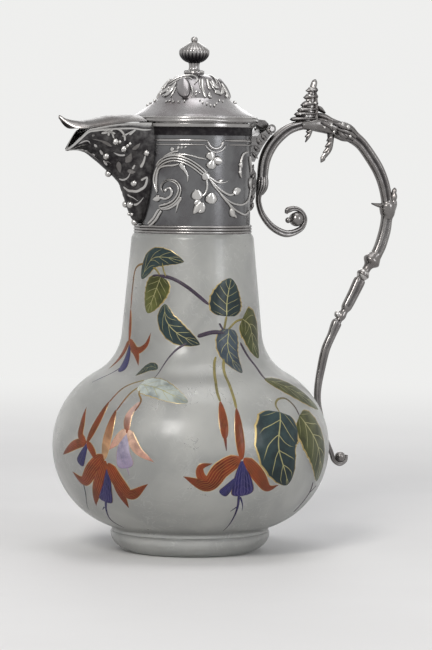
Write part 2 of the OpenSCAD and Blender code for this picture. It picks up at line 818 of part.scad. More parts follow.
// A leaf in the handle's plane along rows of [x, z, half width on its left, half width on
// its right, half thickness]. Its edges are cut like a comb, into lobes that curl forward.
module comb_leaf(rows, lobes, bite, sides = 8) {
    steps = refine(rows, 7);
    last = len(steps) - 1;
    bar([for (i = [0:last])
        let (a = steps[max(i - 1, 0)], b = steps[min(i + 1, last)], p = steps[i],
             along = unit([b[0] - a[0], b[1] - a[1]]),
             place = lobes * i / last,
             comb = 1 - bite * (1 - place + floor(place)))
        [for (j = [0:sides - 1])
            let (q = 360 * j / sides, half = (cos(q) > 0 ? p[2] : p[3]) * comb * cos(q))
            [p[0] - along[1] * half, p[4] * sin(q), p[1] + along[0] * half]]]);
}

// Where the scroll's seat meets its mount
mount_x = scroll_x - 1;

// Cast plate that joins the scroll to the sleeve
module handle_mount() {
    low = collar_top - 46;
    high = collar_top - 21.2;
    color(dark_silver)
    difference() {
        side_plate(6.4)
        polygon([
            [collar_r - 2, low], [collar_r - 2, high], [collar_r + 1.6, high - 1],
            [collar_r + 3.2, high - 3], [mount_x, high - 6], [mount_x, low + 10],
            [collar_r + 3.6, low + 6], [collar_r + 2.6, low + 1], [collar_r + 1.2, low - 2.6]
        ]);
        cylinder(r = collar_r, h = collar_top, $fn = turned);
    }
}

module scroll_tail() {
    color(silver) handle_piece(0, 10, 0.3);
}

// The bud carries the boss that seats the scroll on its mount
module scroll_bud() {
    middle = handle_rows[(rows_before(2) - 2) * handle_steps];
    boss = 4;
    color(silver)
    union() {
        handle_piece(1, 12);
        translate([mount_x, -boss/2, middle[1] - boss/2]) cube([middle[0] - mount_x, boss, boss]);
    }
}

module scroll_band() {
    color(silver) handle_piece(2, 12, 0.5);
}

// The boss in the eye of the scroll and the berry beside it, seated on the scroll's end
module scroll_berries() {
    eye = handle_row(24.8, -52.2, 0, 0, 0);
    color(silver)
    difference() {
        union() {
            translate([eye[0], 0, eye[1]]) sphere(r = scroll_boss_r, $fn = 28);
            translate([eye[0] - scroll_boss_r - 0.8, 0, eye[1] - 0.6]) sphere(r = 1.7, $fn = 20);
        }
        handle_piece(0, 10, 0.3);
    }
}

// Upright leaf on the saddle where scroll and bow meet, and the leaf that lies behind it
module handle_crest() {
    foot = saddle_row(0.41, 1, 0, 0);
    lying = saddle_row(0.447, 5.8, 0, 0);
    color(silver)
    union() {
        handle_piece(3, 12);
        comb_leaf([
            [foot[0], foot[1] + crest_h*0.04, 13, 4.4, 3],
            [foot[0] + 0.4, foot[1] + crest_h*0.16, 10.6, 4, 3],
            [foot[0] + 0.9, foot[1] + crest_h*0.34, 8.4, 3.3, 2.7],
            [foot[0] + 1.4, foot[1] + crest_h*0.54, 6.6, 2.6, 2.3],
            [foot[0] + 1.8, foot[1] + crest_h*0.74, 5, 2.3, 2],
            [foot[0] + 2.1, foot[1] + crest_h*0.9, 2.6, 1.8, 1.6],
            [foot[0] + 2.4, foot[1] + crest_h*0.97, 0.6, 0.6, 0.7]
        ], 7, 0.36);
        comb_leaf([
            [lying[0], lying[1], 2, 4.4, 2.4],
            [lying[0] + 4.2, lying[1] - 1.2, 2.4, 4, 2.8],
            [lying[0] + 8, lying[1] - 2.6, 1.8, 3.4, 2.8],
            [lying[0] + 10.4, lying[1] - 4, 1, 2, 2]
        ], 3, 0.3);
    }
}

// Leaves that hang under the saddle
module crest_leaves() {
    long = saddle_row(0.556, -5, 0, 0);
    short = saddle_row(0.405, -2, 0, 0);
    color(dark_silver)
    difference() {
        union() {
            comb_leaf([
                [long[0], long[1], 1, 2.2, 1.9],
                [long[0], long[1] - 5, 1, 3, 1.9],
                [long[0] - 0.8, long[1] - 9.2, 1.1, 3.4, 1.7],
                [long[0] - 2.8, long[1] - 12.8, 1, 3.2, 1.3],
                [long[0] - 5.6, long[1] - 15.8, 0.4, 0.6, 0.5]
            ], 5, 0.4);
            comb_leaf([
                [short[0], short[1], 1.2, 2.2, 1.9],
                [short[0] - 1.2, short[1] - 3.8, 1.1, 2.8, 1.6],
                [short[0] - 3.2, short[1] - 8.2, 0.4, 0.6, 0.5]
            ], 3, 0.36);
        }
        handle_piece(3, 12);
    }
}

module handle_binding() {
    color(silver) handle_piece(4, 12, 0.15);
}

module handle_bow() {
    color(silver) handle_piece(5, 12, 0.12);
}

module handle_leaf_collar() {
    joint = handle_row(bow_reach - 0.2, -44.6, 0, 0, 0);
    color(silver)
    union() {
        handle_piece(6, 12);
        comb_leaf([
            [joint[0] + 2.4, joint[1] - 2.6, 2.4, 2, 2.4],
            [joint[0] + 3.4, joint[1] + 3, 0.5, 2.4, 2.2],
            [joint[0] + 4, joint[1] + 7.6, 1.7, 2.1, 2],
            [joint[0] + 4.2, joint[1] + 10, 0.7, 0.7, 0.8]
        ], 3, 0.25);
        comb_leaf([
            [joint[0] - 1, joint[1] - 0.4, 1.8, 1.8, 1.8],
            [joint[0] - 6, joint[1] + 0.2, 1.1, 1.1, 1.1],
            [joint[0] - 10.2, joint[1] + 1.2, 0.4, 0.4, 0.4]
        ], 1, 0);
    }
}

module stem_upper() {
    color(silver) handle_piece(7, 12, 0.2);
}

module knot_upper() {
    color(silver) handle_piece(8, 12);
}

module stem_middle() {
    color(silver) handle_piece(9, 12, 0.2);
}

// The lower knot carries a side bud
module knot_lower() {
    bud = handle_row(bow_reach - 30.4, -105, 0, 0, 0);
    bud_r = 2.1;
    color(silver)
    union() {
        handle_piece(10, 12);
        translate([bud[0], 0, bud[1]]) sphere(r = bud_r, $fn = 24);
    }
}

module stem_lower() {
    color(silver) handle_piece(11, 12, 0.2);
}

module tail_ball() {
    eye = handle_row(9.8, -9, 1, 0, 0);
    color(silver)
    difference() {
        translate([eye[0], 0, eye[1]]) sphere(r = tail_ball_r, $fn = 32);
        handle_piece(11, 12, 0.2);
    }
}

glass_body();
neck_plaster();
collar_sleeve();
collar_base_ring();
collar_top_moulding();
collar_rim();
spout_beak();
spout_berries();
lid_dome();
lid_rim();
lid_locating_ring();
lid_tongue();
lid_hinge_leaf();
finial_base();
finial_knob();
finial_washer();
finial_nut();
hinge_bracket();
hinge_pin();
handle_mount();
scroll_tail();
scroll_bud();
scroll_band();
scroll_berries();
handle_crest();
crest_leaves();
handle_binding();
handle_bow();
handle_leaf_collar();
stem_upper();
knot_upper();
stem_middle();
knot_lower();
stem_lower();
tail_ball();
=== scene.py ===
"""Looks of the claret jug: frosted glass with an enamelled spray, under an aged silver mount."""
import logging
import math
from collections.abc import Callable, Sequence
from dataclasses import dataclass, field, replace
from enum import Enum

import bpy
import numpy as np
from mathutils import Matrix, Vector


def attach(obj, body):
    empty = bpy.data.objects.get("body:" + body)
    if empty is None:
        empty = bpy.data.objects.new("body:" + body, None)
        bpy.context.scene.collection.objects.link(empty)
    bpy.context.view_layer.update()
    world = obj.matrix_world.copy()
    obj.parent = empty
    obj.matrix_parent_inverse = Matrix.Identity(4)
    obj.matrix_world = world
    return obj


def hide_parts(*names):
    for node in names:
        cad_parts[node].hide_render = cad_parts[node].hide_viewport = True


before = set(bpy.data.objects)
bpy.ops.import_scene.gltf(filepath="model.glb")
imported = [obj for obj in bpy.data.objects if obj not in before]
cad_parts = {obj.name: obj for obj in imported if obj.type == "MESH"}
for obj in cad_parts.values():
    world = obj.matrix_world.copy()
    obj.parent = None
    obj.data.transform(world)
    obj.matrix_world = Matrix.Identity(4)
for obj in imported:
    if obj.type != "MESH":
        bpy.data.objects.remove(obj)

Array = np.ndarray
Colour = tuple[float, float, float]
Path = Sequence[tuple[float, ...]]
MM = 0.001
ROW_MM = 0.4  # length of one row along a stroke
SHARP_DEG = 52  # edges steeper than this are shaded sharp
SENSOR_MM = 36.0
log = logging.getLogger("claret_jug")


class Body(Enum):
    """The bodies that pieces ride on."""
    JUG = "jug"
    LID = "lid"


class Shape(Enum):
    """How a stroke's width runs along it."""
    EVEN = "even"
    TAIL = "tail"
    LEAF = "leaf"
    HEART = "heart"
    DROP = "drop"
    BELL = "bell"
    PETAL = "petal"
    OVAL = "oval"

    def widths(self, t: Array) -> Array:
        """The share of the full width at each place.

        Args:
            t: Places along the stroke, from 0 to 1.

        Returns:
            A share from 0 to 1 for each place.
        """
        rise = np.sin(np.pi * np.clip(t, 0, 1))
        ends = np.clip(1 - np.abs(2 * t - 1) ** 10, 0, 1) ** 0.5
        if self is Shape.TAIL:
            return ends * (1 - 0.82 * t)
        if self is Shape.LEAF:
            return np.sin(np.pi * t ** 0.78) ** 0.72
        if self is Shape.HEART:
            return np.sin(np.pi * t ** 0.58) ** 0.56
        if self is Shape.DROP:
            return np.sqrt(rise) * (0.72 + 0.4 * t)
        if self is Shape.OVAL:
            return np.sqrt(np.clip(1 - (2 * t - 1) ** 2, 0, 1))
        if self is Shape.BELL:
            return np.clip(1 - t ** 14, 0, 1) ** 0.5 * (0.16 + 0.84 * t ** 0.7)
        if self is Shape.PETAL:
            return np.clip(t * 9, 0, 1) ** 0.5 * np.sin(np.pi * (0.22 + 0.78 * t)) ** 0.9
        return ends


# ---------- numpy curves and grids ----------


def smooth(rows: Array, count: int) -> Array:
    """A smooth curve through rows, at places evenly far apart along it.

    Args:
        rows: Control rows, one per line, of any width.
        count: How many rows to return.

    Returns:
        The new rows.
    """
    p = np.asarray(rows, float)
    if len(p) == 2:
        return p[0] + (p[1] - p[0]) * np.linspace(0, 1, count)[:, None]
    q = np.vstack([2 * p[0] - p[1], p, 2 * p[-1] - p[-2]])
    u = np.linspace(0, len(p) - 1, max(count, 8 * len(p)))
    i = np.minimum(u.astype(int), len(p) - 2)
    t = (u - i)[:, None]
    a, b, c, d = q[i], q[i + 1], q[i + 2], q[i + 3]
    s = 0.5 * (2 * b + (c - a) * t + (2 * a - 5 * b + 4 * c - d) * t ** 2 + (3 * b - a - 3 * c + d) * t ** 3)
    far = np.concatenate([[0], np.cumsum(np.linalg.norm(np.diff(s, axis=0), axis=1))])
    places = np.linspace(0, far[-1], count)
    return np.stack([np.interp(places, far, s[:, k]) for k in range(s.shape[1])], 1)


def through(rows: Array, sub: int) -> Array:
    """The same curve as smooth, with sub steps between neighbouring rows.

    Args:
        rows: Control rows.
        sub: Steps from one row to the next.

    Returns:
        Rows that pass through every control row.
    """
    p = np.asarray(rows, float)
    q = np.vstack([p[0], p, p[-1]])
    u = np.arange((len(p) - 1) * sub + 1) / sub
    i = np.minimum(u.astype(int), len(p) - 2)
    t = (u - i)[:, None]
    a, b, c, d = q[i], q[i + 1], q[i + 2], q[i + 3]
    return 0.5 * (2 * b + (c - a) * t + (2 * a - 5 * b + 4 * c - d) * t ** 2 + (3 * b - a - 3 * c + d) * t ** 3)


def arc(cx: float, cz: float, r: float, start: float, end: float, count: int) -> Array:
    """Points on a circular arc.

    Args:
        cx: Centre, across.
        cz: Centre, up.
        r: Radius.
        start: First angle in degrees.
        end: Last angle in degrees.
        count: Number of points.

    Returns:
        Rows of (across, up).
    """
    a = np.radians(np.linspace(start, end, count))
    return np.stack([cx + r * np.cos(a), cz + r * np.sin(a)], 1)


def bezier(p0: Sequence[float], p1: Sequence[float], p2: Sequence[float], p3: Sequence[float],
           count: int) -> Array:
    """Points on a cubic curve.

    Args:
        p0: Start.
        p1: First handle.
        p2: Second handle.
        p3: End.
        count: Number of points.

    Returns:
        Rows along the curve.
    """
    t = np.linspace(0, 1, count)[:, None]
    a, b, c, d = (np.asarray(p, float) for p in (p0, p1, p2, p3))
    return (1 - t) ** 3 * a + 3 * (1 - t) ** 2 * t * b + 3 * (1 - t) * t ** 2 * c + t ** 3 * d


class Skin:
    """Collects closed grids of points, in millimetres, and makes one mesh of them."""

    def __init__(self, name: str) -> None:
        """Starts an empty skin.

        Args:
            name: The object's name.
        """
        self.name = name
        self.count = 0
        self.points: list[Array] = []
        self.quads: list[Array] = []
        self.ends: list[Array] = []
        self.layers: list[dict[str, Array]] = []

    def grid(self, points: Array, wrap_u: bool = False, wrap_v: bool = True,
             caps: bool = True, **layers: Array | float | Colour) -> "Skin":
        """Adds a grid of points as one closed shape.

        Args:
            points: Rows by columns by 3.
            wrap_u: Whether the last row joins the first.
            wrap_v: Whether the last column joins the first.
            caps: Whether open row ends are closed with a face.
            layers: Values per point: uv (two), tint (three) or soot (one), a mask of oxide and painted shade.

        Returns:
            This skin.
        """
        n, m = points.shape[:2]
        index = np.arange(n * m).reshape(n, m)
        a = np.vstack([index, index[:1]]) if wrap_u else index
        a = np.hstack([a, a[:, :1]]) if wrap_v else a
        quads = np.stack([a[:-1, :-1], a[1:, :-1], a[1:, 1:], a[:-1, 1:]], -1).reshape(-1, 4)
        ends = [index[0], index[-1][::-1]] if caps and not wrap_u else []
        flat = points.reshape(-1, 3)
        p = flat[quads]
        volume = np.einsum("ij,ij->", p[:, 0], np.cross(p[:, 1], p[:, 2]) + np.cross(p[:, 2], p[:, 3]))
        for end in ends:
            e = flat[end]
            volume += np.einsum("ij,ij->", np.broadcast_to(e[0], e[1:-1].shape), np.cross(e[1:-1], e[2:]))
        if volume < 0:
            quads = quads[:, ::-1]
            ends = [end[::-1] for end in ends]
        self.points.append(flat)
        self.quads.append(quads + self.count)
        self.ends += [end + self.count for end in ends]
        full = {"uv": (0.0, 0.0), "tint": (0.5, 0.5, 0.5), "soot": 0.0} | layers
        self.layers.append({k: self._spread(v, n, m) for k, v in full.items()})
        self.count += n * m
        return self

    @staticmethod
    def _spread(value: Array | float | Colour, n: int, m: int) -> Array:
        """One row of values per point.

        Args:
            value: A constant or a grid of values.
            n: Rows.
            m: Columns.

        Returns:
            An array of n times m rows.
        """
        v = np.asarray(value, np.float32)
        if v.ndim >= 2 and v.shape[:2] == (n, m):
            return v.reshape(n * m, -1)
        return np.broadcast_to(v.reshape(1, -1), (n * m, v.size))

    def build(self, material: bpy.types.Material, body: Body, slot: str,
              replaces: Sequence[str] = ()) -> bpy.types.Object:
        """Makes the object.

        Args:
            material: Its finish.
            body: The body it rides on.
            slot: The record's material slot; not used.
            replaces: CAD nodes it stands for.

        Returns:
            The new object.
        """
        co = np.concatenate(self.points) * MM
        quads = np.concatenate(self.quads)
        loops = np.concatenate([quads.ravel(), *self.ends]).astype(np.int32)
        sizes = np.concatenate([np.full(len(quads), 4), [len(e) for e in self.ends]]).astype(np.int32)
        starts = np.concatenate([[0], np.cumsum(sizes)[:-1]]).astype(np.int32)
        mesh = bpy.data.meshes.new(self.name)
        mesh.vertices.add(len(co))
        mesh.vertices.foreach_set("co", co.astype(np.float32).ravel())
        mesh.loops.add(len(loops))
        mesh.loops.foreach_set("vertex_index", loops)
        mesh.polygons.add(len(sizes))
        mesh.polygons.foreach_set("loop_start", starts)
        mesh.polygons.foreach_set("use_smooth", np.ones(len(sizes), bool))
        mesh.update(calc_edges=True)
        join = {k: np.concatenate([layer[k] for layer in self.layers]) for k in ("uv", "tint", "soot")}
        uv = mesh.uv_layers.new(name="Along")
        uv.data.foreach_set("uv", join["uv"][loops].astype(np.float32).ravel())
        tint = mesh.color_attributes.new("tint", "FLOAT_COLOR", "POINT")
        rgba = np.hstack([join["tint"], np.ones((len(co), 1))])
        tint.data.foreach_set("color", rgba.astype(np.float32).ravel())
        soot = mesh.attributes.new("soot", "FLOAT", "POINT")
        soot.data.foreach_set("value", join["soot"].astype(np.float32).ravel())
        mesh.set_sharp_from_angle(angle=math.radians(SHARP_DEG))
        mesh.materials.append(material)
        obj = bpy.data.objects.new(self.name, mesh)
        bpy.context.scene.collection.objects.link(obj)
        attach(obj, body.value)
        if replaces:
            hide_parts(*replaces)
        return obj


def revolve(profile: Array, sides: int, relief: Callable[[Array, Array], Array] | None = None,
            start: float = 0, end: float = 360) -> Array:
    """Turns a profile of (radius, height) about Z.

    Args:
        profile: Rows of (radius, height).
        sides: Number of columns round.
        relief: Radius factor for an azimuth in degrees and a row number, or none.
        start: First azimuth in degrees.
        end: Last azimuth in degrees; a full turn leaves out the repeated column.

    Returns:
        A grid of points, azimuths by rows.
    """
    whole = end - start >= 360
    a = np.linspace(start, end, sides, endpoint=not whole)
    factor = relief(a[:, None], np.arange(len(profile))[None, :]) if relief else 1.0
    r = profile[None, :, 0] * factor + 0 * a[:, None]
    c, s = np.cos(np.radians(a))[:, None], np.sin(np.radians(a))[:, None]
    return np.stack([r * c, r * s, np.broadcast_to(profile[None, :, 1], r.shape) + 0 * r], -1)


def ball(centre: Sequence[float], r: float, squash: float = 1.0, rows: int = 14, sides: int = 20) -> Array:
    """A sphere as a grid.

    Args:
        centre: Its centre.
        r: Its radius.
        squash: Height as a share of the width.
        rows: Rows from pole to pole.
        sides: Columns round.

    Returns:
        A grid of points.
    """
    a = np.linspace(0.02, np.pi - 0.02, rows)[:, None]
    b = np.linspace(0, 2 * np.pi, sides, endpoint=False)[None, :]
    p = np.stack([np.sin(a) * np.cos(b), np.sin(a) * np.sin(b), squash * np.cos(a) + 0 * b], -1)
    return p * r + np.asarray(centre)


# ---------- surfaces that ornament lies on ----------


@dataclass(frozen=True)
class Stroke:
    """One line of ornament on a surface.

    Attributes:
        path: Points of it, in the surface's own two places.
        width: Half width in millimetres at its widest.
        height: How far its crest stands out.
        shape: How its width runs.
        tint: Its own colour.
        tip: Colour that it runs to at its end, or none.
        reeds: Ridges side by side across it.
    """
    path: Path
    width: float
    height: float = 0.5
    shape: Shape = Shape.EVEN
    tint: Colour = (0.5, 0.5, 0.5)
    tip: Colour | None = None
    reeds: int = 1


class Surface:
    """A surface given by two places, with ornament laid on it."""

    def __init__(self, point: Callable[[Array, Array], Array], step: tuple[float, float] = (0.2, 0.2),
                 outward: float = 1.0) -> None:
        """Keeps the surface's formula.

        Args:
            point: Points for arrays of the two places.
            step: Small steps for slopes.
            outward: 1 or -1, so that the normal points out.
        """
        self.point = point
        self.step = step
        self.outward = outward

    def slopes(self, u: Array, v: Array) -> tuple[Array, Array, Array]:
        """Slopes and normal at places.

        Args:
            u: First places.
            v: Second places.

        Returns:
            The two slopes and the outward unit normal.
        """
        du, dv = self.step
        pu = (self.point(u + du, v) - self.point(u - du, v)) / (2 * du)
        pv = (self.point(u, v + dv) - self.point(u, v - dv)) / (2 * dv)
        n = np.cross(pu, pv) * self.outward
        return pu, pv, n / np.maximum(np.linalg.norm(n, axis=-1, keepdims=True), 1e-12)

    def lay(self, skin: Skin, stroke: Stroke, rows: int = 0, cols: int = 7, sink: float = 0.2,
            waves: int = 0) -> None:
        """Adds a stroke as a raised shape that follows the surface.

        The shape's section is a shallow arch whose underside lies just below the surface. With
        reeds, the arch is grooved into that many ridges.

        Args:
            skin: Where it goes.
            stroke: What it is.
            rows: Rows along it, or 0 for one each 0.4 mm.
            cols: Points across its top.
            sink: Depth of its underside.
            waves: Scallops along each edge.
        """
        draft = smooth(np.asarray(stroke.path, float), 40)
        length = np.linalg.norm(np.diff(self.point(draft[:, 0], draft[:, 1]), axis=0), axis=1).sum()
        rows = rows or int(np.clip(length / ROW_MM, 12, 120))
        uv = smooth(np.asarray(stroke.path, float), rows)
        u, v = uv[:, 0], uv[:, 1]
        pu, pv, n = self.slopes(u, v)
        t = np.linspace(0, 1, rows)
        run = np.gradient(uv, axis=0)
        along = pu * run[:, :1] + pv * run[:, 1:]
        side = np.cross(n, along)
        side /= np.maximum(np.linalg.norm(side, axis=1, keepdims=True), 1e-12)
        guu, guv, gvv = (np.einsum("ij,ij->i", a, b) for a, b in ((pu, pu), (pu, pv), (pv, pv)))
        su, sv = np.einsum("ij,ij->i", side, pu), np.einsum("ij,ij->i", side, pv)
        det = np.maximum(guu * gvv - guv ** 2, 1e-12)
        half = stroke.width * np.maximum(stroke.shape.widths(t), 0.03)
        scallop = 1 - 0.07 * np.abs(np.sin(np.pi * waves * t)) ** 0.5 if waves else np.ones(rows)
        half = half * scallop
        cols = max(cols, 6 * stroke.reeds + 1)
        c = np.linspace(-1, 1, cols)
        ridge = np.abs(np.sin(np.pi * stroke.reeds * (c + 1) / 2)) ** 0.7
        arch = np.sqrt(np.maximum(1 - c ** 2, 0))
        if stroke.reeds > 1:
            arch = np.minimum(1, 1.7 * arch) * (0.35 + 0.65 * ridge)
        lift = np.concatenate([arch[None] * stroke.height * np.minimum(1, half / (0.35 * stroke.width))[:, None],
                               np.full((rows, cols), -sink)], 1)
        across = np.concatenate([c, c[::-1]])
        w = half[:, None] * across[None]
        uu = u[:, None] + w * ((gvv * su - guv * sv) / det)[:, None]
        vv = v[:, None] + w * ((guu * sv - guv * su) / det)[:, None]
        _, _, normal = self.slopes(uu, vv)
        points = self.point(uu, vv) + normal * lift[..., None]
        layer_uv = np.stack([np.broadcast_to(t[:, None], w.shape),
                             np.broadcast_to(across[None], w.shape) * 0.5 + 0.5], -1)
        tint = np.broadcast_to(np.asarray(stroke.tint), (*w.shape, 3))
        if stroke.tip is not None:
            mix = (t ** 1.3)[:, None, None]
            tint = tint * (1 - mix) + np.asarray(stroke.tip) * mix
        # Oxide and painted shade: darker towards the stroke's edges and in the grooves between its reeds, leaving the
        # crest bright.
        edge_oxidation_and_shade = np.abs(c) ** (3 if stroke.width < 2.5 else 4) * 0.8 if stroke.reeds == 1 else (1 - ridge) ** 1.5 * 0.95
        soot = np.broadcast_to(np.concatenate([edge_oxidation_and_shade, edge_oxidation_and_shade[::-1]])[None], w.shape)
        skin.grid(points, uv=layer_uv, tint=tint, soot=soot)


def turned(profile: Array) -> Callable[[Array, Array], Array]:
    """The formula of a surface of revolution, by azimuth in degrees and height.

    Args:
        profile: Rows of (radius, height), heights rising.

    Returns:
        A function from azimuth and height to points.
    """
    def point(a: Array, z: Array) -> Array:
        """Points at azimuths and heights.

        Args:
            a: Azimuths in degrees.
            z: Heights.

        Returns:
            Points.
        """
        r = np.interp(z, profile[:, 1], profile[:, 0])
        q = np.radians(a)
        return np.stack([r * np.cos(q), r * np.sin(q), z + 0 * r], -1)
    return point


# ---------- materials ----------


class Graph:
    """Adds shader nodes by short calls. Inputs are constants or other nodes' sockets."""

    def __init__(self, tree: bpy.types.NodeTree) -> None:
        """Starts on an empty tree.

        Args:
            tree: The node tree.
        """
        self.tree = tree
        tree.nodes.clear()

    def add(self, kind: str, inputs: dict[str | int, object] | None = None, **settings: object) -> bpy.types.Node:
        """Adds one node.

        Args:
            kind: The node's type.
            inputs: Values or sockets, by input name or number.
            settings: Properties of the node.

        Returns:
            The node.
        """
        node = self.tree.nodes.new(kind)
        for key, value in settings.items():
            setattr(node, key, value)
        for key, value in (inputs or {}).items():
            if isinstance(value, bpy.types.NodeSocket):
                self.tree.links.new(value, node.inputs[key])
            elif isinstance(value, tuple) and len(value) == 3 and node.inputs[key].type == "RGBA":
                node.inputs[key].default_value = (*value, 1.0)
            else:
                node.inputs[key].default_value = value
        return node

    def math(self, op: str, a: object, b: object = 0.0, clamp: bool = False) -> bpy.types.NodeSocket:
        """A sum, product or other function of two values.

        Args:
            op: The operation's name.
            a: First value.
            b: Second value.
            clamp: Whether the result is kept from 0 to 1.

        Returns:
            The result's socket.
        """
        return self.add("ShaderNodeMath", {0: a, 1: b}, operation=op, use_clamp=clamp).outputs[0]

    def mix(self, factor: object, a: object, b: object, blend: str = "MIX") -> bpy.types.NodeSocket:
        """A mix of two colours.

        Args:
            factor: How much of b.
            a: First colour.
            b: Second colour.
            blend: The blend's name.

        Returns:
            The colour's socket.
        """
        node = self.add("ShaderNodeMix", {0: factor, 6: a, 7: b}, data_type="RGBA", blend_type=blend)
        return node.outputs[2]

    def span(self, value: object, low: float, high: float, to_low: float = 0.0,
             to_high: float = 1.0) -> bpy.types.NodeSocket:
        """Carries a value from one range to another, kept inside it, with soft ends.

        Args:
            value: The value.
            low: Start of the range.
            high: End of the range.
            to_low: What the start becomes.
            to_high: What the end becomes.

        Returns:
            The new value's socket.
        """
        node = self.add("ShaderNodeMapRange", {0: value, 1: low, 2: high, 3: to_low, 4: to_high},
                        interpolation_type="SMOOTHSTEP")
        return node.outputs[0]

    def noise(self, coord: object, scale: float, detail: float = 4.0, rough: float = 0.55,
              twist: float = 0.0) -> bpy.types.NodeSocket:
        """Cloudy noise.

        Args:
            coord: Coordinates.
            scale: How fine it is, per metre.
            detail: Layers of it.
            rough: Weight of the finer layers.
            twist: How far it is pulled about.

        Returns:
            A value's socket.
        """
        node = self.add("ShaderNodeTexNoise", {"Vector": coord, "Scale": scale, "Detail": detail,
                                               "Roughness": rough, "Distortion": twist})
        return node.outputs["Fac"]

    def place(self) -> bpy.types.NodeSocket:
        """The object's own coordinates.

        Returns:
            The coordinates' socket.
        """
        return self.add("ShaderNodeTexCoord").outputs["Object"]

    def attribute(self, name: str) -> bpy.types.Node:
        """Reads a layer of the mesh.

        Args:
            name: The layer's name.

        Returns:
            The node, with Color and Fac outputs.
        """
        return self.add("ShaderNodeAttribute", attribute_name=name)


def group(name: str, inputs: dict[str, tuple[str, object]], outputs: dict[str, str],
          fill: Callable[[Graph, dict[str, bpy.types.NodeSocket]], dict[str, bpy.types.NodeSocket]],
          ) -> bpy.types.NodeTree:
    """Makes a node group.

    Args:
        name: Its name.
        inputs: Socket kinds and defaults by name.
        outputs: Socket kinds by name.
        fill: Builds the inside and returns the outputs' sockets.

    Returns:
        The group's tree.
    """
    tree = bpy.data.node_groups.new(name, "ShaderNodeTree")
    for key, (kind, default) in inputs.items():
        socket = tree.interface.new_socket(key, in_out="INPUT", socket_type=kind)
        socket.default_value = default
    for key, kind in outputs.items():
        tree.interface.new_socket(key, in_out="OUTPUT", socket_type=kind)
    graph = Graph(tree)
    source = tree.nodes.new("NodeGroupInput")
    results = fill(graph, {key: source.outputs[key] for key in inputs})
    sink = tree.nodes.new("NodeGroupOutput")
    for key, socket in results.items():
        tree.links.new(socket, sink.inputs[key])
    return tree


def material(name: str) -> tuple[bpy.types.Material, Graph, bpy.types.Node]:
    """A new material with one Principled shader.

    Args:
        name: Its name.

    Returns:
        The material, its graph and the shader.
    """
    mat = bpy.data.materials.new(name)
    mat.use_nodes = True
    graph = Graph(mat.node_tree)
    shader = graph.add("ShaderNodeBsdfPrincipled")
    out = graph.add("ShaderNodeOutputMaterial")
    mat.node_tree.links.new(shader.outputs[0], out.inputs["Surface"])
    return mat, graph, shader


def connect(graph: Graph, shader: bpy.types.Node, **inputs: object) -> None:
    """Sets or links inputs of a shader; underscores stand for spaces.

    Args:
        graph: The graph.
        shader: The shader.
        inputs: Values or sockets by name.
    """
    for key, value in inputs.items():
        socket = shader.inputs[key.replace("_", " ")]
        if isinstance(value, bpy.types.NodeSocket):
            graph.tree.links.new(value, socket)
        elif isinstance(value, tuple) and socket.type == "RGBA":
            socket.default_value = (*value, 1.0)
        else:
            socket.default_value = value


def patina_group() -> bpy.types.NodeTree:
    """Oxide in recesses together with painted shade, cloudy tarnish and fine wear.

    Returns:
        A group from a mask of oxide and painted shade, and Tarnish, to Colour, Roughness and Height.
    """
    def fill(g: Graph, given: dict[str, bpy.types.NodeSocket]) -> dict[str, bpy.types.NodeSocket]:
        """Builds the group's inside.

        Args:
            g: The group's graph.
            given: Its inputs.

        Returns:
            Its outputs.
        """
        where = g.place()
        cloud = g.noise(where, 55, 5, 0.6, 0.4)
        grain = g.noise(where, 900, 3, 0.7)
        specks = g.noise(where, 260, 4, 0.65)
        dark = g.math("ADD", given["Soot"], g.math("MULTIPLY", g.math("SUBTRACT", specks, 0.5), 0.5), True)
        depth = g.span(dark, 0.12, 0.95)
        warm = g.mix(g.math("MULTIPLY", g.span(cloud, 0.38, 0.72), given["Tarnish"]), given["Light"], given["Warm"])
        colour = g.mix(depth, warm, given["Dark"])
        rough = g.math("ADD", g.span(cloud, 0.3, 0.75, 0.17, 0.3), g.math("MULTIPLY", depth, 0.3))
        rough = g.math("ADD", rough, g.math("MULTIPLY", g.math("SUBTRACT", grain, 0.5), 0.08))
        height = g.math("ADD", g.math("MULTIPLY", grain, 0.25), g.math("MULTIPLY", specks, 0.75))
        return {"Colour": colour, "Roughness": rough, "Height": height}
    return group("patina", {"Soot": ("NodeSocketFloat", 0.0), "Tarnish": ("NodeSocketFloat", 0.5),
                            "Light": ("NodeSocketColor", (0.8, 0.8, 0.8, 1)),
                            "Warm": ("NodeSocketColor", (0.6, 0.5, 0.4, 1)),
                            "Dark": ("NodeSocketColor", (0.05, 0.05, 0.05, 1))},
                 {"Colour": "NodeSocketColor", "Roughness": "NodeSocketFloat", "Height": "NodeSocketFloat"}, fill)


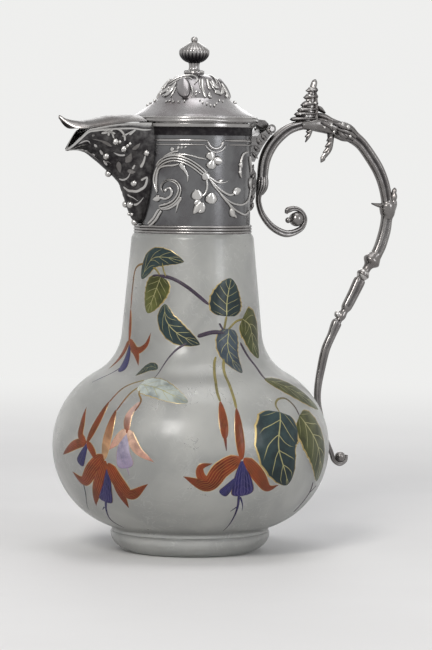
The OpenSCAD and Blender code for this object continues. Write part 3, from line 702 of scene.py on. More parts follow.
def frost_group() -> bpy.types.NodeTree:
    """Acid-etched glass: clouds, a fine pebble and short worm-like marks.

    Returns:
        A group to Colour, Roughness and Height.
    """
    def fill(g: Graph, given: dict[str, bpy.types.NodeSocket]) -> dict[str, bpy.types.NodeSocket]:
        """Builds the group's inside.

        Args:
            g: The group's graph.
            given: Its inputs.

        Returns:
            Its outputs.
        """
        where = g.place()
        cloud = g.noise(where, 26, 5, 0.55, 0.8)
        pebble = g.noise(where, 520, 3, 0.6)
        worm = g.noise(where, 95, 3, 0.5, 1.6)
        lines = g.span(g.math("ABSOLUTE", g.math("SUBTRACT", worm, 0.5)), 0.0, 0.022, 1.0, 0.0)
        patch = g.span(g.noise(where, 42, 2), 0.44, 0.58)
        marks = g.math("MULTIPLY", lines, patch)
        colour = g.mix(g.span(cloud, 0.3, 0.7), given["Colour A"], given["Colour B"])
        colour = g.mix(g.math("MULTIPLY", marks, 0.5), colour, (0.9, 0.9, 0.88))
        rough = g.math("ADD", g.span(cloud, 0.3, 0.75, 0.36, 0.5), g.math("MULTIPLY", marks, -0.12))
        height = g.math("ADD", g.math("MULTIPLY", pebble, 0.5), g.math("MULTIPLY", marks, 0.25))
        return {"Colour": colour, "Roughness": rough, "Height": height}
    return group("frost", {key: ("NodeSocketColor", (1, 1, 1, 1)) for key in ("Colour A", "Colour B")},
                 {"Colour": "NodeSocketColor", "Roughness": "NodeSocketFloat", "Height": "NodeSocketFloat"}, fill)


def enamel_group() -> bpy.types.NodeTree:
    """Fired enamel: a tinted ground with veins, brushed streaks and a gilt outline.

    Returns:
        A group from Tint, Veins, Outline and Streaks to Colour, Gilt, Roughness and Height.
    """
    def fill(g: Graph, given: dict[str, bpy.types.NodeSocket]) -> dict[str, bpy.types.NodeSocket]:
        """Builds the group's inside.

        Args:
            g: The group's graph.
            given: Its inputs.

        Returns:
            Its outputs.
        """
        uv = g.add("ShaderNodeSeparateXYZ", {0: g.add("ShaderNodeUVMap", uv_map="Along").outputs[0]})
        t, side = uv.outputs[0], g.math("ABSOLUTE", g.math("SUBTRACT", g.math("MULTIPLY", uv.outputs[1], 2.0), 1.0))
        where = g.place()
        blot = g.noise(where, 120, 4, 0.6, 0.5)
        wobble = g.math("MULTIPLY", g.math("SUBTRACT", blot, 0.5), 0.1)
        rib = g.math("ADD", side, g.math("MULTIPLY", wobble, 0.6))
        mid = g.span(rib, 0.015, 0.045, 1.0, 0.0)
        phase = g.math("FRACT", g.math("ADD", g.math("SUBTRACT", g.math("MULTIPLY", t, 5.0),
                                                  g.math("MULTIPLY", side, 1.5)), wobble))
        branch = g.span(g.math("ABSOLUTE", g.math("SUBTRACT", phase, 0.5)), 0.018, 0.05, 1.0, 0.0)
        branch = g.math("MULTIPLY", branch, g.span(side, 0.55, 0.86, 1.0, 0.0))
        veins = g.math("MULTIPLY", g.math("MAXIMUM", mid, branch), given["Veins"], True)
        edge = g.math("MULTIPLY", g.span(g.math("ADD", side, wobble), 0.9, 0.955), given["Outline"], True)
        stripe = g.math("SINE", g.math("ADD", g.math("MULTIPLY", side, 22.0), g.math("MULTIPLY", blot, 9.0)))
        streak = g.math("MULTIPLY", g.span(stripe, 0.2, 1.0), given["Streaks"], True)
        deep = g.mix(1.0, given["Tint"], (0.42, 0.44, 0.48), "MULTIPLY")
        ground = g.mix(g.span(blot, 0.35, 0.7), given["Tint"], deep)
        ground = g.mix(streak, ground, g.mix(0.65, given["Tint"], given["Vein Colour"]))
        colour = g.mix(veins, ground, given["Vein Colour"])
        colour = g.mix(edge, colour, given["Gilt Colour"])
        gilt = g.math("MAXIMUM", edge, g.math("MULTIPLY", veins, 0.4))
        rough = g.math("ADD", g.span(blot, 0.3, 0.7, 0.3, 0.46), g.math("MULTIPLY", gilt, -0.05))
        height = g.math("ADD", g.math("MULTIPLY", blot, 0.5), g.math("MULTIPLY", g.math("MAXIMUM", edge, veins), 0.5))
        return {"Colour": colour, "Gilt": gilt, "Roughness": rough, "Height": height}
    colour = "NodeSocketColor"
    return group("enamel", {"Tint": (colour, (0.5, 0.5, 0.5, 1)), "Veins": ("NodeSocketFloat", 1.0),
                            "Outline": ("NodeSocketFloat", 1.0), "Streaks": ("NodeSocketFloat", 0.0),
                            "Vein Colour": (colour, (0.8, 0.7, 0.4, 1)), "Gilt Colour": (colour, (0.8, 0.6, 0.2, 1))},
                 {"Colour": colour, "Gilt": "NodeSocketFloat", "Roughness": "NodeSocketFloat",
                  "Height": "NodeSocketFloat"}, fill)


@dataclass(frozen=True)
class Silver:
    """Aged silver.

    Attributes:
        name: The material's name.
        tarnish: How much warm tarnish clouds it.
        soot: Oxide and painted shade all over, added to the mesh's own.
        light: Bright metal.
        warm: Tarnished metal.
        dark: Colour of the oxide in recesses and of the painted shade.
        bump: Depth of the wear in metres.
    """
    name: str
    tarnish: float = 0.5
    soot: float = 0.0
    light: Colour = (0.86, 0.85, 0.83)
    warm: Colour = (0.6, 0.55, 0.5)
    dark: Colour = (0.02, 0.018, 0.02)
    bump: float = 0.00004

    def make(self, patina: bpy.types.NodeTree) -> bpy.types.Material:
        """Builds the material.

        Args:
            patina: The patina group.

        Returns:
            The material.
        """
        mat, g, shader = material(self.name)
        soot = g.math("ADD", g.attribute("soot").outputs["Fac"], self.soot, True)
        wear = g.add("ShaderNodeGroup", {"Soot": soot, "Tarnish": self.tarnish, "Light": self.light,
                                         "Warm": self.warm, "Dark": self.dark}, node_tree=patina)
        bump = g.add("ShaderNodeBump", {"Height": wear.outputs["Height"], "Distance": self.bump, "Strength": 1.0})
        connect(g, shader, Base_Color=wear.outputs["Colour"], Roughness=wear.outputs["Roughness"],
                Metallic=1.0, Normal=bump.outputs[0])
        return mat


@dataclass(frozen=True)
class Frosted:
    """Frosted glass.

    Attributes:
        name: The material's name.
        pale: Its paler clouds.
        deep: Its deeper clouds.
        clear: How much light goes through.
    """
    name: str
    pale: Colour = (0.72, 0.72, 0.69)
    deep: Colour = (0.54, 0.545, 0.53)
    clear: float = 0.7

    def make(self, frost: bpy.types.NodeTree) -> bpy.types.Material:
        """Builds the material.

        Args:
            frost: The frost group.

        Returns:
            The material.
        """
        mat, g, shader = material(self.name)
        skin = g.add("ShaderNodeGroup", {"Colour A": self.pale, "Colour B": self.deep}, node_tree=frost)
        bump = g.add("ShaderNodeBump", {"Height": skin.outputs["Height"], "Distance": 0.0001, "Strength": 0.6})
        connect(g, shader, Base_Color=skin.outputs["Colour"], Roughness=skin.outputs["Roughness"],
                Metallic=0.0, Transmission_Weight=self.clear, IOR=1.5, Coat_Weight=0.35,
                Coat_Roughness=0.16, Normal=bump.outputs[0])
        return mat


@dataclass(frozen=True)
class Enamel:
    """Fired enamel of one kind of part.

    Attributes:
        name: The material's name.
        veins: Strength of the veins.
        outline: Strength of the gilt edge.
        streaks: Strength of the brushed streaks.
        vein: Colour of the veins.
        gilt: Colour of the outline.
    """
    name: str
    veins: float = 1.0
    outline: float = 1.0
    streaks: float = 0.0
    vein: Colour = (0.34, 0.32, 0.15)
    gilt: Colour = (0.42, 0.32, 0.14)

    def make(self, enamel: bpy.types.NodeTree) -> bpy.types.Material:
        """Builds the material.

        Args:
            enamel: The enamel group.

        Returns:
            The material.
        """
        mat, g, shader = material(self.name)
        paint = g.add("ShaderNodeGroup", {
            "Tint": g.attribute("tint").outputs["Color"], "Veins": self.veins, "Outline": self.outline,
            "Streaks": self.streaks, "Vein Colour": self.vein, "Gilt Colour": self.gilt}, node_tree=enamel)
        bump = g.add("ShaderNodeBump", {"Height": paint.outputs["Height"], "Distance": 0.00008, "Strength": 0.8})
        connect(g, shader, Base_Color=paint.outputs["Colour"], Roughness=paint.outputs["Roughness"],
                Metallic=g.math("MULTIPLY", paint.outputs["Gilt"], 0.75), Coat_Weight=0.12,
                Specular_IOR_Level=0.22, Coat_Roughness=0.12, Normal=bump.outputs[0])
        return mat


@dataclass(frozen=True)
class Plain:
    """A mottled plain finish.

    Attributes:
        name: The material's name.
        pale: Its paler colour.
        deep: Its deeper colour.
        rough: Its roughness.
        metal: How metallic it is.
        scale: How fine its clouds are.
    """
    name: str
    pale: Colour
    deep: Colour
    rough: float = 0.7
    metal: float = 0.0
    scale: float = 60.0

    def make(self) -> bpy.types.Material:
        """Builds the material.

        Returns:
            The material.
        """
        mat, g, shader = material(self.name)
        cloud = g.noise(g.place(), self.scale, 5, 0.6)
        bump = g.add("ShaderNodeBump", {"Height": cloud, "Distance": 0.0001, "Strength": 0.3})
        connect(g, shader, Base_Color=g.mix(g.span(cloud, 0.3, 0.7), self.deep, self.pale),
                Roughness=g.span(cloud, 0.3, 0.7, self.rough + 0.08, self.rough - 0.05), Metallic=self.metal,
                Normal=bump.outputs[0])
        return mat


@dataclass
class Finishes:
    """Every material, made once."""
    polished: bpy.types.Material = field(init=False)
    sleeve: bpy.types.Material = field(init=False)
    relief: bpy.types.Material = field(init=False)
    shadowed: bpy.types.Material = field(init=False)
    tongue: bpy.types.Material = field(init=False)
    dome: bpy.types.Material = field(init=False)
    cast: bpy.types.Material = field(init=False)
    handle: bpy.types.Material = field(init=False)
    glass: bpy.types.Material = field(init=False)
    leaf: bpy.types.Material = field(init=False)
    petal: bpy.types.Material = field(init=False)
    corolla: bpy.types.Material = field(init=False)
    stem: bpy.types.Material = field(init=False)
    plaster: bpy.types.Material = field(init=False)
    brass: bpy.types.Material = field(init=False)

    def __post_init__(self) -> None:
        """Builds the groups and the materials."""
        patina, frost, enamel = patina_group(), frost_group(), enamel_group()
        self.polished = Silver("silver_polished", 0.6, 0.05, (0.34, 0.33, 0.325), (0.2, 0.185, 0.18)).make(patina)
        # The collar's sleeve: darker silver, tarnish together with painted dark reflection.
        self.sleeve = Silver("silver_sleeve", 0.8, 0.2, (0.165, 0.165, 0.17), (0.085, 0.08, 0.085)).make(patina)
        # The raised chasing: lighter silver than the grounds, a painted highlight.
        self.relief = Silver("silver_relief", 0.4, 0.0, (0.52, 0.51, 0.5), (0.34, 0.32, 0.3)).make(patina)
        self.handle = Silver("silver_cast", 0.7, 0.08, (0.25, 0.24, 0.235), (0.135, 0.122, 0.118)).make(patina)
        # The hinge plates and the handle's mount: darker silver, painted shade.
        self.shadowed = Silver("silver_shadowed", 0.8, 0.45, (0.15, 0.145, 0.14), (0.08, 0.072, 0.07)).make(patina)
        self.cast = Silver("silver_foliage", 0.8, 0.2, (0.24, 0.23, 0.225), (0.13, 0.12, 0.115)).make(patina)
        self.dome = Silver("silver_dome", 0.8, 0.08, (0.31, 0.3, 0.305), (0.18, 0.16, 0.165)).make(patina)
        # The tongue: darker silver, painted dark reflection.
        self.tongue = Silver("silver_tongue", 0.9, 0.1, (0.24, 0.23, 0.225), (0.15, 0.13, 0.125)).make(patina)
        self.glass = Frosted("frosted_glass").make(frost)
        self.leaf = Enamel("enamel_leaf").make(enamel)
        self.petal = Enamel("enamel_petal", 0.0, 1.0, 0.5, (0.5, 0.24, 0.06), (0.62, 0.42, 0.18)).make(enamel)
        self.corolla = Enamel("enamel_corolla", 0.15, 0.5, 0.3, (0.3, 0.26, 0.5)).make(enamel)
        self.stem = Enamel("enamel_stem", 0.3, 0.35).make(enamel)
        self.plaster = Plain("plaster", (0.86, 0.84, 0.78), (0.75, 0.72, 0.65)).make()
        self.brass = Plain("brass", (0.72, 0.56, 0.3), (0.5, 0.36, 0.17), 0.3, 1.0).make()


# ---------- sub-assemblies ----------


@dataclass
class Part:
    """A sub-assembly: builds its objects when asked.

    Attributes:
        finishes: The materials.
    """
    finishes: Finishes

    def build(self) -> list[bpy.types.Object]:
        """Builds the sub-assembly.

        Returns:
            Its objects.
        """
        raise NotImplementedError


@dataclass
class GlassBody(Part):
    """The blown body, with the arcs of its CAD solid, drawn in so that the enamel stays inside its box."""
    belly_r: float = 75.72
    belly_z: float = 57.5
    belly_arc: float = 46.0
    shoulder: float = 27.0
    neck_r: float = 33.4
    neck_z: float = 171.0
    taper: float = 5.4
    wall: float = 3.0

    def side(self, inset: float, low: float) -> Array:
        """The side from foot to neck.

        The belly's arc and the shoulder's hollow arc touch each other and the neck's straight side.

        Args:
            inset: How far inside the outer face.
            low: Angle at which the belly's arc starts.

        Returns:
            Rows of (radius, height).
        """
        a = math.radians(self.taper)
        c1 = np.array([self.belly_r - self.belly_arc, self.belly_z])
        down, out = np.array([math.sin(a), -math.cos(a)]), np.array([math.cos(a), math.sin(a)])
        start = np.array([self.neck_r, self.neck_z]) + self.shoulder * out - c1
        along = start @ down
        slide = -along - math.sqrt(along ** 2 - start @ start + (self.belly_arc + self.shoulder) ** 2)
        c2 = c1 + start + slide * down
        turn = math.degrees(math.atan2(*(c2 - c1)[::-1]))
        return np.vstack([arc(*c1, self.belly_arc - inset, low, turn, 70),
                          arc(*c2, self.shoulder + inset, turn + 180, 180 + self.taper, 26)[1:]])

    def outside(self) -> Array:
        """The outer face above the foot, which ornament lies on.

        Returns:
            Rows of (radius, height), rising.
        """
        low = -math.degrees(math.acos((44.0 - 30.2) / self.belly_arc))
        neck = [[self.neck_r, self.neck_z]]
        return np.vstack([self.side(0, low), neck])

    def build(self) -> list[bpy.types.Object]:
        """Builds the glass.

        Returns:
            Its object.
        """
        foot = bezier((34, 0), (39, 1.6), (43.6, 5), (43.6, 10.2), 12)
        top = bezier((33.4, 171), (33.3, 172), (32.3, 173.4), (31.9, 174), 6)
        rim = np.vstack([[[29, 174]], arc(27.5, 210.5, 1.5, 0, 180, 12), [[26, 168]]])
        inner = self.side(self.wall, -89.5)[::-1]
        profile = np.vstack([[[0.05, 0]], foot, [[43.3, 10.9], [42.9, 11], [42.95, 12.2]],
                             self.outside(), top, rim, inner])
        keep = np.concatenate([[True], np.linalg.norm(np.diff(profile, axis=0), axis=1) > 1e-3])
        skin = Skin("glass").grid(revolve(profile[keep], 256).transpose(1, 0, 2))
        return [skin.build(self.finishes.glass, Body.JUG, "glass", ["glass_body"])]


DARK_LEAF: Colour = (0.01, 0.022, 0.024)
TEAL_LEAF: Colour = (0.028, 0.052, 0.054)
SLATE_LEAF: Colour = (0.055, 0.075, 0.095)
OLIVE_LEAF: Colour = (0.07, 0.074, 0.014)
GREEN_LEAF: Colour = (0.045, 0.058, 0.018)
PALE_LEAF: Colour = (0.5, 0.54, 0.5)
BRANCH: Colour = (0.045, 0.028, 0.06)
STALK: Colour = (0.24, 0.2, 0.06)
RED: Colour = (0.13, 0.013, 0.007)
ORANGE: Colour = (0.22, 0.032, 0.009)
BLUE: Colour = (0.012, 0.012, 0.085)


@dataclass
class Spray(Part):
    """The enamelled fuchsia spray on the glass, by azimuth in degrees and height."""
    glass: GlassBody | None = None
    relief: float = 0.48

    def leaves(self) -> list[Stroke]:
        """The leaves, from their stalks to their tips.

        Returns:
            Strokes.
        """
        leaf, heart = Shape.LEAF, Shape.HEART
        return [
            Stroke([(197, 149.5), (208, 160), (222, 161.5), (240, 159.3)], 5.8, 0.6, leaf, TEAL_LEAF, DARK_LEAF),
            Stroke([(219, 151), (214, 142), (207.4, 131.3)], 8.3, 0.6, heart, OLIVE_LEAF, (0.15, 0.16, 0.045)),
            Stroke([(224, 136.5), (226, 128), (236, 121), (254, 115.2)], 6.6, 0.6, leaf, TEAL_LEAF, DARK_LEAF),
            Stroke([(277.4, 130.1), (278.5, 139), (283.4, 150.4)], 11.2, 0.6, heart, DARK_LEAF, TEAL_LEAF),
            Stroke([(294, 128.5), (304, 123), (306, 107)], 10.2, 0.6, heart, OLIVE_LEAF, GREEN_LEAF),
            Stroke([(279, 123.5), (277, 112), (281.5, 100.2)], 7.6, 0.6, heart, SLATE_LEAF, SLATE_LEAF),
            Stroke([(224.5, 102.3), (218, 103), (211.5, 98.4)], 3.1, 0.5, leaf, TEAL_LEAF, DARK_LEAF),
            Stroke([(219, 94.5), (231, 92.5), (246, 86.4)], 7.6, 0.5, heart, PALE_LEAF, (0.34, 0.38, 0.34)),
            Stroke([(294.5, 97), (308, 91), (327, 79)], 7.2, 0.6, leaf, OLIVE_LEAF, GREEN_LEAF),
            Stroke([(290, 80.5), (285.5, 62), (292.5, 41.5)], 16.2, 0.7, heart, TEAL_LEAF, DARK_LEAF),
            Stroke([(302, 77.5), (312, 60), (318, 41)], 13.6, 0.7, heart, OLIVE_LEAF, GREEN_LEAF),
        ]

    def stems(self) -> list[Stroke]:
        """Branches and stalks.

        Returns:
            Strokes.
        """
        even, tail = Shape.EVEN, Shape.TAIL
        return [
            Stroke([(209.8, 151.5), (227.4, 150.7), (243.1, 145.9), (262, 136.4)], 0.95, 0.5, even, BRANCH),
            Stroke([(252, 119.5), (264.4, 121.7), (275.6, 121.2)], 1.15, 0.6, even, BRANCH),
            Stroke([(275.6, 121.2), (286.6, 127.1), (298, 128.4)], 0.6, 0.4, even, STALK),
            Stroke([(246, 116.9), (235.6, 112.3), (228.8, 105.9), (225, 97)], 0.85, 0.5, tail, BRANCH),
            Stroke([(290, 116), (294.2, 109.1), (297.4, 102.7), (295.1, 96.4)], 0.8, 0.5, even, BRANCH),
            Stroke([(274.4, 122.3), (277.4, 130.1)], 0.7, 0.4, even, STALK),
            Stroke([(270.5, 126.5), (274.4, 122.3)], 0.6, 0.4, even, BRANCH),
            Stroke([(224.1, 151), (221, 155), (219.7, 159)], 0.45, 0.5, even, STALK),
            Stroke([(219, 151), (212, 155.5), (199, 157.6), (186, 154.5), (183.4, 144), (184, 132.4)], 0.6, 0.4,
                   even, STALK, ORANGE),
            Stroke([(266, 109), (263.7, 104.8), (260.7, 93.5), (261.1, 86.5)], 0.75, 0.45, even, STALK),
            Stroke([(272, 108), (269.5, 102.1), (268.4, 94.2), (268.1, 82.8)], 0.8, 0.45, even, STALK),
            Stroke([(290, 80.3), (289.6, 84.2), (292.9, 86.8), (298.3, 86.8), (301.5, 83), (302.3, 77.6)], 0.6, 0.4,
                   even, STALK, BRANCH),
            Stroke([(220, 96.6), (213.5, 94.4), (209.6, 91.4), (206.6, 84.6)], 0.5, 0.35, even, STALK, ORANGE),
            Stroke([(222, 95.4), (216.5, 90.2), (212.6, 80.6)], 0.5, 0.35, even, STALK, ORANGE),
            Stroke([(222, 95.4), (221, 90.5), (223.6, 86.4), (222, 81)], 0.5, 0.35, even, STALK, ORANGE),
            Stroke([(313, 41), (314.6, 34.6), (313, 24)], 0.7, 0.4, even, BRANCH),
            Stroke([(314.6, 34.6), (320, 38)], 0.5, 0.35, even, BRANCH),
        ]

    def petals(self) -> list[Stroke]:
        """Flower tubes and sepals.

        Returns:
            Strokes.
        """
        tube, petal = Shape.DROP, Shape.PETAL
        return [
            Stroke([(184, 133), (185.5, 125), (186.8, 115.5)], 1.7, 0.6, tube, ORANGE, ORANGE),
            Stroke([(186.8, 116.6), (199, 111), (208, 113.6), (212.5, 121)], 2.3, 0.5, petal, ORANGE, RED),
            Stroke([(187.5, 116), (200, 110), (208.3, 103.4)], 2.2, 0.6, petal, ORANGE, RED),
            Stroke([(186, 116), (183, 108), (179, 100)], 2.1, 0.5, petal, ORANGE, RED),
            Stroke([(261.1, 86.9), (261.3, 77), (261.5, 67.4)], 2.7, 0.8, tube, ORANGE, RED),
            Stroke([(261.5, 68.2), (261.9, 61.4)], 1.0, 0.4, Shape.TAIL, RED, BRANCH),
            Stroke([(268.1, 83.4), (267.7, 71), (268.3, 56.6)], 2.8, 0.8, tube, RED, ORANGE),
            Stroke([(267.9, 57.9), (259.9, 51.5), (254.5, 43.4), (244.6, 47.9)], 5.0, 0.8, petal, ORANGE, RED),
            Stroke([(256.5, 44.4), (252, 47.7), (251.6, 53.0), (256.2, 55)], 2.4, 0.6, petal, ORANGE, RED),
            Stroke([(269.2, 57.5), (276.2, 48), (281.7, 40.8), (287.4, 41.9)], 4.0, 0.8, petal, ORANGE, RED),
            Stroke([(206.6, 85.2), (204.2, 74.5), (200.5, 63.2)], 2.5, 0.6, tube, RED, ORANGE),
            Stroke([(200.3, 63.7), (192, 61), (182.2, 54.8)], 2.8, 0.6, petal, ORANGE, RED),
            Stroke([(199.8, 63.4), (195.7, 66.5), (195, 73), (193.4, 81.4)], 2.4, 0.6, petal, ORANGE, RED),
            Stroke([(200.4, 63.4), (204, 59), (206.4, 53)], 2.2, 0.6, petal, ORANGE, RED),
            Stroke([(212.4, 81.3), (211.6, 70), (210.3, 55)], 3.0, 0.7, tube, RED, (0.74, 0.46, 0.26)),
            Stroke([(210.4, 57.6), (203.4, 49.5), (196.4, 42.2), (189.2, 46.3)], 4.4, 0.8, petal, ORANGE, RED),
            Stroke([(211.1, 54.5), (206, 42.6), (197.2, 28.4)], 4.0, 0.8, petal, ORANGE, RED),
            Stroke([(212.2, 53.5), (216.8, 42.4), (221.4, 37), (229.8, 43.3)], 4.2, 0.8, petal, ORANGE, RED),
            Stroke([(214.6, 45.2), (216.4, 37.2), (218, 29.0)], 2.7, 0.6, petal, RED, RED),
            Stroke([(223, 86), (219.7, 78.4), (220.5, 69.6)], 2.3, 0.6, tube, (0.7, 0.5, 0.44), ORANGE),
            Stroke([(220.8, 71.6), (225.6, 61.5), (232.8, 55.2)], 2.6, 0.6, petal, (0.74, 0.5, 0.38), (0.5, 0.24, 0.2)),
            Stroke([(220, 71.6), (216.4, 66), (212.6, 60.5)], 2.6, 0.6, petal, (0.74, 0.5, 0.38), (0.5, 0.24, 0.2)),
        ]

    def corollas(self) -> list[Stroke]:
        """Corollas and stamens.

        Returns:
            Strokes.
        """
        bell, tail = Shape.BELL, Shape.TAIL
        return [
            Stroke([(188.5, 114), (192.5, 107), (196.4, 99.6)], 3.4, 0.5, bell, BLUE, BLUE),
            Stroke([(194, 103), (188, 97.6), (181, 93)], 0.5, 0.3, tail, BLUE),
            Stroke([(268.9, 56), (269.2, 47), (270.3, 36.9)], 7.6, 0.6, bell, BLUE, (0.022, 0.015, 0.1)),
            Stroke([(266.4, 47), (263, 41), (260.8, 37.9)], 3.4, 0.6, bell, BLUE, BLUE),
            Stroke([(268.6, 38), (269.5, 29.5), (269.2, 21), (268.4, 15.6)], 0.9, 0.45, tail, BLUE, BRANCH),
            Stroke([(269.4, 36.5), (271.5, 32), (272.4, 28.4)], 0.6, 0.4, tail, BLUE),
            Stroke([(269.3, 31), (266.4, 28.2)], 0.5, 0.35, tail, BLUE),
            Stroke([(200.6, 62.5), (198.4, 57), (195.6, 51)], 3.9, 0.5, bell, BLUE, (0.022, 0.02, 0.09)),
            Stroke([(196, 43.2), (193.7, 34.1), (186, 24.6)], 0.5, 0.35, tail, (0.03, 0.05, 0.06)),
            Stroke([(211.5, 52), (209.5, 42), (205.4, 31.4)], 6.2, 0.6, bell, BLUE, (0.02, 0.014, 0.09)),
            Stroke([(206.6, 32.6), (202, 25.2), (199.4, 20), (201.4, 15.6)], 0.85, 0.45, tail, BLUE, BRANCH),
            Stroke([(203, 28.4), (200, 26.4)], 0.5, 0.35, tail, BLUE),
            Stroke([(220.2, 69.4), (219.4, 60), (220.8, 51.2)], 6.0, 0.5, bell, (0.46, 0.42, 0.5), (0.3, 0.24, 0.34)),
            Stroke([(221, 52.5), (222, 47.2)], 0.5, 0.35, tail, (0.4, 0.3, 0.4)),
        ]

    def build(self) -> list[bpy.types.Object]:
        """Lays the spray on the glass.

        Returns:
            One object for each kind of part.
        """
        surface = Surface(turned((self.glass or GlassBody(self.finishes)).outside()), (0.3, 0.3))
        made = []
        for name, strokes, finish, waves in (
                ("spray_leaves", self.leaves(), self.finishes.leaf, 7),
                ("spray_stems", self.stems(), self.finishes.stem, 0),
                ("spray_corollas", self.corollas(), self.finishes.corolla, 0),
                ("spray_petals", self.petals(), self.finishes.petal, 0)):
            skin = Skin(name)
            for stroke in strokes:
                flat = replace(stroke, height=stroke.height * self.relief)
                surface.lay(skin, flat, 72 if waves else 56, 15 if waves else 11, 0.1, waves)
            made.append(skin.build(finish, Body.JUG, "glass"))
        return made


@dataclass
class Collar(Part):
    """The silver collar with its reeded rings and chased scrolls."""
    radius: float = 31.3
    low: float = 174.0
    top: float = 233.6
    moulding: float = 224.3
    front_half: float = 26.9
    bold: float = 1.5
    rim_half: float = 26.6

    def strokes(self) -> list[Stroke]:
        """The chased scrolls, by azimuth in degrees and height.

        Returns:
            Strokes.
        """
        tail, leaf, drop = Shape.TAIL, Shape.LEAF, Shape.DROP
        return [
            # stalk from the base ring, then the coiled band with its tails
            Stroke([(199, 178.4), (206.9, 181.7), (211.1, 184.9), (214.6, 187.2)], 1.25, 0.8, reeds=2),
            Stroke([(214.6, 187.4), (221.7, 187.5), (227.9, 188.9), (233, 191.4), (236.3, 194.1)], 0.6, 0.7),
            Stroke([(233, 190.9), (231.8, 187.8), (230.5, 185.1)], 0.6, 0.6, tail),
            Stroke([(236.3, 193.6), (233.8, 190.9), (231.8, 188.2)], 0.6, 0.6, tail),
            Stroke([(212.5, 188.3), (220.8, 189.2), (227.5, 191), (232.4, 194.1), (234.4, 197.5), (232.7, 200.8),
                    (227.4, 202.6), (221.5, 202.8), (216.4, 201), (214.9, 198.3), (218.3, 195.6)], 1.35, 1.0,
                   tail, reeds=2),
            Stroke([(205.6, 192.3), (213, 193.4), (219.7, 192.8), (225.1, 194.4), (226.4, 196.7), (224.2, 198.7),
                    (219.9, 198)], 0.6, 0.75),
            Stroke([(205, 192.2), (214, 193.6)], 1.5, 0.8, drop),
            # arch at the left and its hanging leaf
            Stroke([(209.8, 195.7), (208.7, 201), (209.1, 205.5), (212.2, 209.1), (219.4, 210.5), (227.5, 210.8),
                    (234.3, 211.7)], 0.55, 0.7),
            Stroke([(234.3, 211.9), (236.9, 210.2), (240.2, 207.5), (242.3, 204.8), (242, 201.7)], 1.2, 0.8, tail),
            Stroke([(236, 211.4), (238.6, 208.2)], 1.2, 0.8, leaf),
            Stroke([(209.8, 196.1), (206, 201), (205.9, 205), (209.6, 209.5), (216.5, 213.2)], 0.55, 0.7),
            # long middle band with three reeds, its node and what runs on from it
            Stroke([(209.8, 209.8), (216.9, 213), (225.7, 214.6), (234.3, 214.4), (242.6, 212.8), (250.2, 210.2),
                    (257, 207.1), (261.8, 204.7)], 1.45, 1.0, reeds=3),
            Stroke([(257, 207), (262.5, 203.4)], 2.0, 1.2, drop),
            Stroke([(261.3, 205.4), (266, 203.6), (272.2, 201.8), (278.8, 201.8), (284.7, 203)], 0.8, 0.8, tail),
            Stroke([(272, 201.6), (278, 203.4)], 0.8, 0.8, leaf),
            Stroke([(262.6, 204), (270.5, 200), (277.9, 196.9), (286, 195.1), (292, 195.8)], 0.55, 0.7),
            Stroke([(290.5, 195.2), (295, 196.9), (299.5, 198.2)], 1.7, 1.1, drop),
            Stroke([(264, 203), (269.6, 199.1), (278.9, 194.2), (289.3, 190.8), (301.9, 189.7), (313.9, 191),
                    (324, 194), (329, 200)], 0.45, 0.6),
            Stroke([(274, 196.8), (280.9, 192.4), (286.1, 189.7), (289, 187.2)], 0.45, 0.6),
            Stroke([(288, 188.2), (289.6, 185.6), (291, 183.2)], 1.6, 0.9, drop),
            Stroke([(291, 185), (295.4, 182.6)], 0.7, 0.7, leaf),
            Stroke([(272, 198), (278, 194), (285, 190.6), (295.3, 186.6), (310.2, 184.4), (324, 186.6)], 0.45, 0.6),
            # thin sprays over the band, with buds and a trefoil
            Stroke([(209, 209.8), (213.6, 213.4), (218.4, 215.6), (226.5, 217.9), (233.4, 218.6)], 0.45, 0.6),
            Stroke([(226, 218.2), (226.5, 220.6)], 1.1, 0.7, drop),
            Stroke([(231.7, 219.2), (233, 221.1)], 0.75, 0.6, drop),
            Stroke([(235, 219.8), (237, 221.1)], 0.7, 0.6, drop),
            Stroke([(238.8, 220.2), (240.6, 221.1)], 0.6, 0.6, drop),
            Stroke([(213.6, 212.7), (222.1, 216.1), (232.6, 216.8), (242.6, 216.4), (252.4, 215.1), (260.5, 214.2)],
                   0.42, 0.55),
            Stroke([(266, 213.6), (263.6, 218.4)], 2.1, 1.1, drop),
            Stroke([(266.6, 214), (276.2, 213.2)], 1.9, 1.1, drop),
            Stroke([(266, 214), (264.7, 208.8)], 2.2, 1.3, drop),
            # stem below the node, with two buds
            Stroke([(257.5, 206.2), (260.5, 203.1), (261.4, 199.6), (259.8, 196.4), (256.9, 194.2)], 0.5, 0.65),
            Stroke([(250.9, 198.2), (252.2, 192.2)], 2.6, 1.3, drop),
            Stroke([(254.6, 192.4), (248.6, 189.9)], 1.5, 0.9, leaf),
            Stroke([(255.4, 191.6), (251.4, 187.6), (247.8, 184.6)], 1.5, 0.9, leaf),
            Stroke([(256.6, 191.6), (256.4, 187.4), (252.6, 185.4)], 1.4, 0.9, leaf),
            Stroke([(265.2, 196.6), (265.8, 190.2)], 2.7, 1.4, drop),
            # vine at the right
            Stroke([(318.4, 218.5), (307.1, 217.3), (302.6, 214), (301.2, 210.4), (300.7, 206.8), (302.9, 204.1)],
                   0.45, 0.6),
            Stroke([(301.9, 213.2), (301.7, 209.6)], 1.1, 0.8, drop),
            Stroke([(301, 208.6), (300.9, 206)], 0.8, 0.7, drop),
            Stroke([(322, 216), (328, 210), (328.4, 206.7)], 1.1, 0.8, leaf),
            Stroke([(328, 204), (324.3, 201.3), (326.8, 198.1)], 1.2, 0.8, leaf),
        ]

